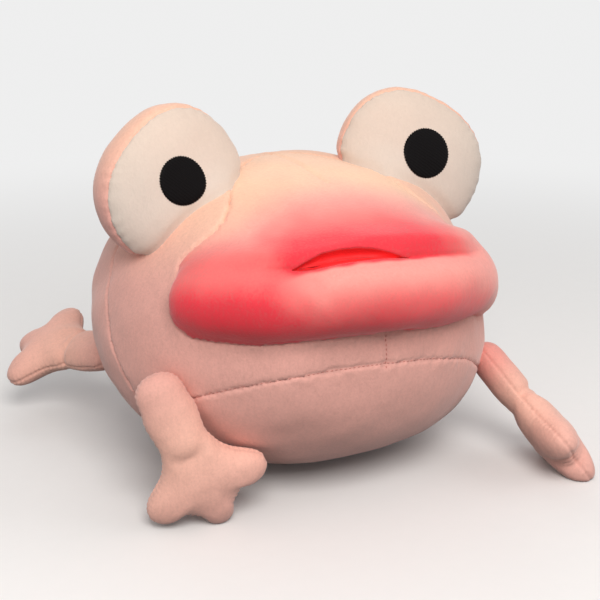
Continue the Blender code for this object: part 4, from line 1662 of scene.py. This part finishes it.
@dataclass
class Eye:
    """One stuffed disc of an eye: a white front, a pink back and an embroidered pupil.

    The pairs sag_place, pupil_shift and the two that place the painted pink reflection on the white go
    across and up the disc. The others say where a fade begins and where it ends.
    """

    side: Side
    torso: Torso
    radius: float = 0.075
    centre_shift: float = 0.0
    flat_share: float = 0.135
    flat_angle: float = math.radians(92)
    flat_spread: float = math.radians(42)
    front_bulge: float = 0.032
    back_bulge: float = 0.040
    front_fullness: float = 2.2
    back_fullness: float = 2.7
    azimuth: float = math.radians(80)
    latitude: float = math.radians(53.5)
    lift: float = 0.020
    setback: float = 0.003
    lean_out: float = math.radians(32)
    look_up: float = math.radians(13)
    turn_in: float = math.radians(8)
    slack: float = -0.0012
    voxel: float = 0.004
    seam_depth: float = 0.0014
    seam_forward: float = 0.0065
    seam_tilt: float = 0.13
    base_depth: float = 0.004
    base_tuck: float = 0.0030
    sag: float = 0.017
    sag_place: Pair = (-0.022, -0.050)
    sag_spread: float = 0.029
    sag_ahead: Pair = (0.0, 0.02)
    rim_pin: float = 0.004
    rim_pin_out: Pair = (0.05, 0.065)
    gather_spread: float = 0.010
    gather_out: Pair = (0.045, 0.07)
    gather_height: float = 0.00035
    gather_waves: float = 31.0
    gather_sway: float = 2.0
    gather_sways: float = 7.0
    dents: Wrinkle = Wrinkle(11.0, 0.0009, 8)
    tuck_spread: float = 0.007
    sewn_height: float = 0.004
    free_height: float = 0.045
    pupil_radius: float = 0.0246
    pupil_shift: Pair = (0.0028, 0.0038)
    pupil_thickness: float = 0.0012
    pupil_fullness: float = 4.0
    pupil_lift: float = 0.0002
    pupil_reach: float = 0.1
    pupil_rings: int = 14
    pupil_teeth: int = 56
    pupil_tooth: float = 0.00045
    tooth_points: int = 4
    tooth_growth: int = 6
    painted_reflection: float = 0.0
    reflection_place: Pair = (0.030, -0.048)
    reflection_spread: Pair = (0.022, 0.014)
    front_warmth: float = 0.16
    back_warmth: float = 0.6
    warm_up: Pair = (0.27, 0.36)
    stuffing: Stuffing = field(default_factory=lambda: Stuffing(cap=0.003))

    def frame(self) -> Matrix:
        """The eye's own frame, mirrored on the right: Z looks ahead, Y up it and X along its base."""
        turned = Matrix.Rotation(-self.turn_in, 4, "Z") @ Matrix.Rotation(-self.look_up, 4, "X")
        turned = turned @ Matrix.Rotation(self.lean_out, 4, "Y")
        turned = turned @ Matrix.Rotation(math.radians(90), 4, "X")
        site = self.torso.body_points(np.array([self.azimuth]), np.array([self.latitude]))[0]
        lifted = Matrix.Translation((0.0, self.lift, -self.setback))
        place = Matrix.Translation(Vector(site)) @ turned @ lifted
        return place if self.side is Side.LEFT else Matrix.Scale(-1.0, 4, (1.0, 0.0, 0.0)) @ place

    def rim_field(self, points: Points) -> Points:
        """Height before the rim's seam, which runs further forwards at the eye's top."""
        return points[:, 2] - self.seam_forward - self.seam_tilt * points[:, 1]

    def form(self) -> Mesh:
        """The eye's closed form, in its own frame."""
        bm, unit = unit_sphere(segments=72, rings=40)
        share = np.minimum(1.0, np.hypot(unit[:, 0], unit[:, 1]))
        front = (self.front_bulge - self.slack) * super_round(share, self.front_fullness)
        back = (self.back_bulge - self.slack) * super_round(share, self.back_fullness)
        height = np.where(unit[:, 2] >= 0.0, front, -back)
        off = wrapped(np.arctan2(unit[:, 1], unit[:, 0]) - self.flat_angle)
        reach = (self.radius - self.slack) * (1.0 - self.flat_share * bell(off, self.flat_spread))
        flat = unit[:, :2] * reach[:, None] + (self.centre_shift, 0.0)
        return shaped("eye_form", bm, np.column_stack((flat, height)))

    def build(self, finishes: Finishes, seat: BVHTree) -> list[Object]:
        """Builds the eye's covers and its pupil.

        Args:
            finishes: The materials.
            seat: The body's surface, which the eye is sewn to.

        Returns:
            The pieces.
        """
        skin = fused("eye", [self.form()], self.voxel)
        points = evened(skin, 2)
        off = np.hypot(points[:, 0] - self.sag_place[0], points[:, 1] - self.sag_place[1])
        points[:, 2] += self.sag * bell(off, self.sag_spread) * smooth_step(points[:, 2], *self.sag_ahead)
        move_points(skin, points)
        rim = bell(self.rim_field(points), self.rim_pin)
        rim *= smooth_step(np.hypot(points[:, 0], points[:, 1]), *self.rim_pin_out)
        self.stuffing.swell(skin, rim)
        bm = bmesh_of(subdivided(skin))
        cut_along(bm, self.rim_field, everywhere, "rim_seam")
        self._pucker(bm)
        drawn_in(bm, "rim_seam", self.seam_depth)
        place = self.frame()
        self._sewn_down(bm, place, seat)
        made = self._covers(bm, place, finishes)
        made.append(self._pupil(made[0], place, finishes))
        return made

    def _pucker(self, bm: BMesh) -> None:
        """Gives the covers the soft dents of a hand-turned seam."""
        points = placed(bm)
        around = np.arctan2(points[:, 1], points[:, 0])
        near = bell(self.rim_field(points), self.gather_spread)
        near *= smooth_step(np.hypot(points[:, 0], points[:, 1]), *self.gather_out)
        sway = self.gather_sway * np.sin(around * self.gather_sways)
        waves = np.sin(around * self.gather_waves + sway) * self.gather_height
        pushed(bm, waves * near + self.dents.over(points, self.side.value))

    def _sewn_down(self, bm: BMesh, place: Matrix, seat: BVHTree) -> None:
        """Ends the eye just inside the body's cover, with its cloth tucked in along that line."""
        over = height_over(moved_by(placed(bm), place), seat)
        pushed(bm, -self.base_tuck * bell(over, self.tuck_spread))
        hidden = [vertex for vertex, height in zip(bm.verts, over) if height < -self.base_depth]
        bmesh.ops.delete(bm, geom=hidden, context="VERTS")

    def _covers(self, bm: BMesh, place: Matrix, finishes: Finishes) -> list[Object]:
        """Parts the skin at the rim's seam into the white front and the pink back."""
        word = self.side.word
        jobs = (
            (f"eye_white_{word}", 1.0, self.front_warmth, self.painted_reflection, finishes.white, "white_plush",
             (f"eye_front_{word}", f"eye_filling_{word}")),
            (f"eye_shell_{word}", -1.0, self.back_warmth, 0.0, finishes.pink, "pink_plush",
             (f"eye_back_{word}",)),
        )
        made = []
        for name, sign, warmth, painted_reflection, material, slot, nodes in jobs:
            part = bm.copy()
            kept_faces(part, lambda points, sign=sign: sign * self.rim_field(points))
            bmesh.ops.delete(part, geom=[v for v in part.verts if not v.link_faces], context="VERTS")
            closed_to(part, Vector((0.0, 0.0, 0.0)))
            # A painted pink reflection of the body, low on the white front, carried by the coral tint.
            reflected = painted_reflection * self._reflection_spot(placed(part))
            part.transform(place)
            if self.side is Side.RIGHT:
                bmesh.ops.reverse_faces(part, faces=part.faces[:])
            mesh = mesh_of(name, part)
            warm = smooth_step(points_of(mesh)[:, 2], *self.warm_up) * warmth
            tinted(mesh, coral=reflected, peach=warm)
            mesh.materials.append(material)
            cover = object_of(name, mesh)
            self._hold(cover)
            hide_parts(*nodes)
            made.append(cover)
        bm.free()
        return made

    def _reflection_spot(self, points: Points) -> Points:
        """Where a painted pink reflection of the body lies low on the white, in the eye's own frame."""
        across = bell(points[:, 0] - self.reflection_place[0], self.reflection_spread[0])
        return across * bell(points[:, 1] - self.reflection_place[1], self.reflection_spread[1])

    def _hold(self, piece: Object) -> None:
        """Sews a piece to the body at the eye's base: it stays there and rocks above."""
        place = self.frame()
        up = (place.to_3x3() @ Vector((0.0, 1.0, 0.0))).normalized()
        base = place @ Vector((0.0, -self.lift, self.setback))
        low, high = base + up * self.sewn_height, base + up * self.free_height
        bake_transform(piece, "body", f"eye_{self.side.word}", start=tuple(low), end=tuple(high))

    def _pupil(self, white: Object, place: Matrix, finishes: Finishes) -> Object:
        """The pupil: a patch of black embroidery that lies on the white front."""
        tree = surface_of(white.data)
        look = (place.to_3x3() @ Vector((0.0, 0.0, 1.0))).normalized()
        bm = bmesh.new()
        turns = self.pupil_teeth * self.tooth_points
        loops = []
        for ring in range(1, self.pupil_rings + 1):
            share = ring / self.pupil_rings
            loop = []
            for turn in range(turns):
                angle = 2.0 * math.pi * turn / turns
                tooth = self.pupil_tooth * math.cos(angle * self.pupil_teeth) * share**self.tooth_growth
                far = self.pupil_radius * share + tooth
                loop.append(bm.verts.new((far * math.cos(angle), far * math.sin(angle), share)))
            loops.append(loop)
        middle = bm.verts.new((0.0, 0.0, 0.0))
        for turn in range(turns):
            after = (turn + 1) % turns
            bm.faces.new((middle, loops[0][turn], loops[0][after]))
            for inner, outer in zip(loops, loops[1:]):
                bm.faces.new((inner[turn], outer[turn], outer[after], inner[after]))
        across, up = self.pupil_shift
        rises = self.pupil_thickness * super_round(placed(bm)[:, 2], self.pupil_fullness)
        for vertex, rise in zip(bm.verts, rises):
            start = place @ Vector((vertex.co.x + across, vertex.co.y + up, self.pupil_reach))
            hit = tree.ray_cast(start, -look)[0] or start - look * self.pupil_reach
            vertex.co = hit + look * (self.pupil_lift + float(rise))
        if self.side is Side.RIGHT:
            bmesh.ops.reverse_faces(bm, faces=bm.faces[:])
        name = f"pupil_thread_{self.side.word}"
        mesh = mesh_of(name, bm)
        mesh.materials.append(finishes.black)
        patch = object_of(name, mesh)
        walled(patch)
        self._hold(patch)
        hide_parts(f"pupil_{self.side.word}")
        return patch


# Limbs


@dataclass
class Limb:
    """One limb: a stuffed thigh and a three-toed foot in one cover, sewn round its outline.

    pale and crease_share give a least value and what is added to it. notch_out says where a fade
    begins and where it ends.
    """

    name: str
    knee_bend: float
    seed: int
    knee_crease: float = 0.0034
    root_painted_shade: float = 0.0
    root_radius: float = 0.017
    knee_radius: float = 0.0172
    thigh_length: float = 0.050
    thigh_half_width: float = 0.0262
    thigh_half_thickness: float = 0.0180
    ankle_length: float = 0.043
    ankle_half_width: float = 0.0245
    palm_radius: float = 0.036
    foot_half_thickness: float = 0.0195
    middle_toe: float = 0.050
    side_toe: float = 0.061
    toe_radius: float = 0.0160
    side_toe_angle: float = math.radians(74)
    web_turn: float = math.radians(72)
    web_hollow: float = 0.13
    foot_fullness: float = 2.3
    voxel: float = 0.003
    seam_depth: float = 0.0013
    knee_spread: float = 0.010
    knee_pin: float = 0.006
    outline_pin: float = 0.003
    lowest: float = 0.0002
    root_shade_spread: float = 0.025
    pale: Pair = (0.15, 0.25)
    pale_place: float = 0.08
    peach: float = 0.35
    peach_place: float = 0.06
    tint_spread: float = 0.05
    notch_spread: float = math.radians(16)
    notch_out: Pair = (0.020, 0.034)
    notch_thickness: float = 0.012
    fold_waves: float = 46.0
    fold_height: float = 0.0009
    gather_spread: float = 0.007
    gather_waves: float = 900.0
    gather_height: float = 0.0003
    crease_spread: float = 0.0045
    crease_share: Pair = (0.6, 0.4)
    dents: Wrinkle = Wrinkle(16.0, 0.0008, 0)
    stuffing: Stuffing = field(default_factory=lambda: Stuffing(cap=0.0028))

    def thigh_mesh(self) -> Mesh:
        """The thigh along +X, from the root's axis to the knee's."""
        bm, unit = unit_sphere(segments=40, rings=40)
        along = unit[:, 2]
        middle = np.abs(along) < 1e-6
        x = np.where(along < 0.0, self.root_radius * along, self.thigh_length + self.knee_radius * along)
        x = np.where(middle, self.thigh_length / 2.0, x)
        wide = np.where(middle, self.thigh_half_width, self.ankle_half_width)
        ends = np.where(along >= 0.0, self.knee_radius, self.root_radius)
        thick = np.where(middle, self.thigh_half_thickness, ends)
        return shaped("thigh_form", bm, np.column_stack((x, wide * unit[:, 0], thick * unit[:, 1])))

    def foot_reach(self, angle: Points) -> Points:
        """Distance from the palm's middle to the foot's edge: angle 0 is the middle toe, pi the knee."""
        reaches = [np.where(np.cos(angle) > 0.0, self.palm_radius, 0.0)]
        for toe, length in ((0.0, self.middle_toe), (self.side_toe_angle, self.side_toe),
                            (-self.side_toe_angle, self.side_toe)):
            off = wrapped(angle - toe)
            middle = length - self.toe_radius
            inside = self.toe_radius**2 - (middle * np.sin(off)) ** 2
            hit = (np.abs(off) <= math.pi / 2.0) & (inside > 0.0)
            reach = middle * np.cos(off) + np.sqrt(np.maximum(inside, 0.0))
            reaches.append(np.where(hit, reach, 0.0))
        reaches.append(self._web_reach(angle))
        corner = math.hypot(self.ankle_length, self.ankle_half_width)
        level = np.minimum(np.cos(angle), -1e-6)
        to_knee = -self.ankle_length / level
        to_side = np.minimum(corner, self.ankle_half_width / np.maximum(np.abs(np.sin(angle)), 1e-6))
        behind = np.where(np.cos(angle) < -self.ankle_length / corner, to_knee, to_side)
        reaches.append(np.where(np.cos(angle) < 0.0, behind, 0.0))
        return np.max(reaches, axis=0)

    def _web_reach(self, angle: Points) -> Points:
        """Distance from the palm's middle to the web between the ankle and a side toe."""
        ankle = np.array((-self.ankle_length, self.ankle_half_width))
        tip = self.side_toe - self.toe_radius
        turn = self.side_toe_angle + self.web_turn
        toe = tip * np.array((math.cos(self.side_toe_angle), math.sin(self.side_toe_angle)))
        toe = toe + self.toe_radius * np.array((math.cos(turn), math.sin(turn)))
        run = toe - ankle
        way = np.column_stack((np.cos(angle), np.abs(np.sin(angle))))
        level = way[:, 0] * run[1] - way[:, 1] * run[0]
        reach = (ankle[0] * run[1] - ankle[1] * run[0]) / np.where(np.abs(level) < 1e-9, 1e-9, level)
        start, end = math.atan2(toe[1], toe[0]), math.atan2(ankle[1], ankle[0])
        share = (np.abs(angle) - start) / (end - start)
        hollow = 1.0 - self.web_hollow * np.sin(math.pi * np.clip(share, 0.0, 1.0))
        return np.where((share >= 0.0) & (share <= 1.0), reach * hollow, 0.0)

    def foot_mesh(self) -> Mesh:
        """The foot in the XY plane, before its knee is bent."""
        bm, unit = unit_sphere(segments=144, rings=24)
        share = np.minimum(1.0, np.hypot(unit[:, 0], unit[:, 1]))
        angle = np.arctan2(unit[:, 1], unit[:, 0])
        reach = self.foot_reach(angle) * share
        thick = np.copysign(self.foot_half_thickness, unit[:, 2])
        return shaped("foot_form", bm, np.column_stack((
            self.thigh_length + self.ankle_length + reach * np.cos(angle),
            reach * np.sin(angle),
            thick * super_round(share, self.foot_fullness),
        )))

    def frame(self, joints: dict[str, dict]) -> Matrix:
        """The limb's frame at its root: X runs down the limb, Y is its hinge and Z its flat side."""
        root, knee = (joints[f"{self.name}_{word}"] for word in ("root", "knee"))
        start, end = Vector(root["pos_m"]), Vector(knee["pos_m"])
        along = (end - start).normalized()
        across = -Vector(root["axis"]).normalized()
        flat = along.cross(across)
        turned = Matrix((along, across, flat)).transposed().to_4x4()
        return Matrix.Translation(start) @ turned

    def build(self, finishes: Finishes, joints: dict[str, dict]) -> list[Object]:
        """Builds the limb's cover.

        Args:
            finishes: The materials.
            joints: The frame's joints by name.

        Returns:
            The cover, as a list of one.
        """
        skin = fused(self.name, [self.thigh_mesh(), self.foot_mesh()], self.voxel)
        points = evened(skin, 3)
        move_points(skin, points)
        knee = bell(points[:, 0] - self.thigh_length, self.knee_pin)
        self.stuffing.swell(skin, np.maximum(bell(points[:, 2], self.outline_pin), knee))
        bm = bmesh_of(subdivided(skin))
        cut_along(bm, lambda points: points[:, 2], everywhere, "outline_seam")
        self._pucker(bm)
        drawn_in(bm, "outline_seam", self.seam_depth)
        place = self.frame(joints)
        self._bend(bm)
        bm.transform(place)
        for vertex in bm.verts:
            vertex.co.z = max(vertex.co.z, self.lowest)
        name = f"{self.name}_limb_plush"
        mesh = mesh_of(name, bm)
        down = moved_by(points_of(mesh), place.inverted())[:, 0]
        # At the root, coral is painted shade with a painted red reflection of the body.
        tinted(
            mesh,
            coral=self.root_painted_shade * bell(down, self.root_shade_spread),
            pale=self.pale[0] + self.pale[1] * bell(down - self.pale_place, self.tint_spread),
            peach=self.peach * bell(down - self.peach_place, self.tint_spread),
        )
        mesh.materials.append(finishes.pink)
        limb = object_of(name, mesh)
        near = place @ Vector((self.thigh_length - self.knee_spread, 0.0, 0.0))
        far = place @ Vector((self.thigh_length + self.knee_spread, 0.0, 0.0))
        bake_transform(limb, f"{self.name}_thigh", f"{self.name}_foot", start=tuple(near), end=tuple(far))
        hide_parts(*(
            f"{self.name}_{link}_{part}" for link in ("thigh", "foot")
            for part in ("outer_skin", "inner_skin", "filling")
        ))
        return [limb]

    def _pucker(self, bm: BMesh) -> None:
        """Gathers the cloth between the toes and along the outline, and pinches the knee."""
        points = placed(bm)
        centre = self.thigh_length + self.ankle_length
        angle = np.arctan2(points[:, 1], points[:, 0] - centre)
        out = np.hypot(points[:, 1], points[:, 0] - centre)
        notch = bell(np.abs(angle) - self.side_toe_angle / 2.0, self.notch_spread)
        notch *= smooth_step(out, *self.notch_out)
        folds = np.sin(angle * self.fold_waves + self.seed) * self.fold_height * notch
        folds = folds * bell(points[:, 2], self.notch_thickness)
        edge = np.sin((points[:, 0] + np.abs(points[:, 1])) * self.gather_waves) * self.gather_height
        edge = edge * bell(points[:, 2], self.gather_spread)
        across = bell(points[:, 0] - self.thigh_length, self.crease_spread)
        both, top = self.crease_share
        pinch = -self.knee_crease * across * (both + top * np.sign(points[:, 2]))
        pushed(bm, folds + edge + self.dents.over(points, self.seed) + pinch)

    def _bend(self, bm: BMesh) -> None:
        """Bends the foot about the knee's axis, softly over the pinched cloth."""
        offsets = placed(bm)[:, 0] - self.thigh_length
        shares = smooth_step(offsets, -self.knee_spread, self.knee_spread)
        knee = Vector((self.thigh_length, 0.0, 0.0))
        for vertex, share in zip(bm.verts, shares):
            turn = Matrix.Rotation(self.knee_bend * float(share), 3, "Y")
            vertex.co = turn @ (vertex.co - knee) + knee


# Studio


@dataclass(frozen=True)
class Lamp:
    """One soft square lamp: its place, its side, its power in watts and its colour."""

    name: str
    place: Triple
    size: float
    power: float
    colour: Colour

    def hang(self, target: Vector) -> None:
        """Hangs the lamp so that it faces a place."""
        data = bpy.data.lights.new(self.name, "AREA")
        data.size = self.size
        data.energy = self.power
        data.color = self.colour
        lamp = bpy.data.objects.new(self.name, data)
        bpy.context.scene.collection.objects.link(lamp)
        lamp.location = self.place
        lamp.rotation_euler = (target - Vector(self.place)).to_track_quat("-Z", "Y").to_euler()


@dataclass
class Studio:
    """The pale floor, the soft lights and the camera at the photograph's angle."""

    azimuth: float = math.radians(-28.0)
    elevation: float = math.radians(18.0)
    distance: float = 1.22
    target: Triple = (0.0106, -0.0056, 0.155)
    lens: float = 72.0
    sensor: float = 36.0
    floor_half: float = 12.0
    floor_drop: float = 0.0005
    paper: float = 0.86
    paper_grain: float = 60.0
    paper_contrast: float = 0.02
    bounce: float = 0.18
    fade: Pair = (0.5, 1.6)
    sky: Colour = (1.0, 0.99, 0.98)
    sky_strength: float = 0.41
    lamps: tuple[Lamp, ...] = (
        Lamp("key", (-0.52, -1.50, 1.56), 1.0, 32.0, (1.0, 0.96, 0.92)),
        Lamp("fill", (1.6, -1.0, 1.0), 1.4, 8.0, (1.0, 0.97, 0.96)),
        Lamp("wash", (-1.7, -0.8, 0.6), 1.4, 5.0, (1.0, 0.97, 0.96)),
        Lamp("rim", (0.3, 1.5, 1.4), 1.2, 6.0, (1.0, 1.0, 1.0)),
    )

    def build(self) -> None:
        """Builds the floor, the lights, the world and the camera."""
        self._camera()
        self._floor()
        self._world()
        for lamp in self.lamps:
            lamp.hang(Vector(self.target))

    def _camera(self) -> None:
        """The camera."""
        back = Vector((
            math.sin(self.azimuth) * math.cos(self.elevation),
            -math.cos(self.azimuth) * math.cos(self.elevation),
            math.sin(self.elevation),
        ))
        data = bpy.data.cameras.new("camera")
        data.lens = self.lens
        data.sensor_width = self.sensor
        camera = bpy.data.objects.new("camera", data)
        bpy.context.scene.collection.objects.link(camera)
        camera.location = Vector(self.target) + back * self.distance
        camera.rotation_euler = (-back).to_track_quat("-Z", "Y").to_euler()
        bpy.context.scene.camera = camera

    def _floor(self) -> None:
        """A wide pale floor that takes the shadow near the frog and fades to white paper far off."""
        bm = bmesh.new()
        bmesh.ops.create_grid(bm, x_segments=1, y_segments=1, size=self.floor_half)
        floor = object_of("floor", mesh_of("floor", bm, smooth=False))
        floor.location.z = -self.floor_drop
        shader = Shader("floor_paper")
        grain = shader.noise(self.paper_grain, 4.0, shader.places())
        path = shader.node("LightPath")
        seen = shader.out(path, "Is Camera Ray") + shader.out(path, "Is Glossy Ray")
        seen = seen + shader.out(path, "Is Transmission Ray")
        bright = self.paper - self.bounce + (grain - 0.5) * self.paper_contrast
        level = self.bounce + bright * seen
        diffuse = shader.node("BsdfDiffuse", None, Color=shader.grey(level), Roughness=0.0)
        glow = shader.node("Emission", None, Color=(self.paper,) * 3 + (1.0,), Strength=1.0)
        near, far = self.fade
        fade = shader.node(
            "MapRange", {"interpolation_type": "SMOOTHSTEP"},
            Value=shader.far(), From_Min=near, From_Max=far, To_Min=0.0, To_Max=1.0,
        )
        share = shader.out(fade, "Result") * seen
        mix = shader.node("MixShader", None, Fac=share)
        shader.tree.links.new(diffuse.outputs[0], mix.inputs[1])
        shader.tree.links.new(glow.outputs[0], mix.inputs[2])
        output = shader.node("OutputMaterial")
        shader.tree.links.new(mix.outputs[0], output.inputs[0])
        floor.data.materials.append(shader.material)

    def _world(self) -> None:
        """An even pale sky, which the camera sees as white paper."""
        world = bpy.data.worlds.new("sky")
        world.use_nodes = True
        tree = world.node_tree
        sky = tree.nodes["Background"]
        sky.inputs["Color"].default_value = (*self.sky, 1.0)
        sky.inputs["Strength"].default_value = self.sky_strength
        paper = tree.nodes.new("ShaderNodeBackground")
        paper.inputs["Color"].default_value = (self.paper,) * 3 + (1.0,)
        path = tree.nodes.new("ShaderNodeLightPath")
        camera, glossy, clear = (
            Socket(tree, path.outputs[f"Is {kind} Ray"]) for kind in ("Camera", "Glossy", "Transmission")
        )
        seen = camera + glossy + clear
        mix = tree.nodes.new("ShaderNodeMixShader")
        tree.links.new(seen.source, mix.inputs[0])
        tree.links.new(sky.outputs[0], mix.inputs[1])
        tree.links.new(paper.outputs[0], mix.inputs[2])
        tree.links.new(mix.outputs[0], tree.nodes["World Output"].inputs[0])
        bpy.context.scene.world = world


LIMBS = (
    Limb("front_right", math.radians(16.0), 3, knee_crease=0.0, side_toe_angle=math.radians(78),
         side_toe=0.0600, ankle_half_width=0.0228, thigh_half_width=0.0248),
    # The front left limb's root gets painted shade with a painted red reflection.
    Limb("front_left", math.radians(-2.0), 4, root_painted_shade=0.25, middle_toe=0.0600, palm_radius=0.038,
         ankle_length=0.048, foot_half_thickness=0.0210),
    Limb("rear_right", math.radians(-3.0), 5),
    Limb("rear_left", math.radians(-3.0), 6),
)


def eyes_on(torso: Torso) -> list[Eye]:
    """The two eyes: the right one sits a little further in, its pupil is smaller and its white carries a
    painted reflection.
    """
    return [
        Eye(Side.LEFT, torso, radius=0.078, seam_forward=0.0045, pupil_radius=0.0249,
            pupil_shift=(-0.0004, 0.0050), sag=0.015),
        Eye(Side.RIGHT, torso, centre_shift=-0.004, flat_angle=math.radians(82), seam_forward=0.0052,
            seam_tilt=0.16, pupil_radius=0.0224, pupil_shift=(-0.0002, 0.0037), painted_reflection=0.60),
    ]


def main() -> None:
    """Builds the frog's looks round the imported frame."""
    logging.basicConfig(level=logging.INFO, format="%(message)s")
    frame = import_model()
    bpy.context.scene.view_settings.view_transform = "Standard"
    Studio().build()
    finishes = Finishes()
    stitches = StitchRow()
    torso = Torso()
    pieces = torso.build(finishes, stitches)
    for eye in eyes_on(torso):
        pieces += eye.build(finishes, torso.seat)
    joints = {joint["name"]: joint for joint in frame["joints"]}
    for limb in LIMBS:
        pieces += limb.build(finishes, joints)
    for piece in pieces:
        log.info("%s: %d faces", piece.name, len(piece.data.polygons))


if __name__ == "__main__":
    main()
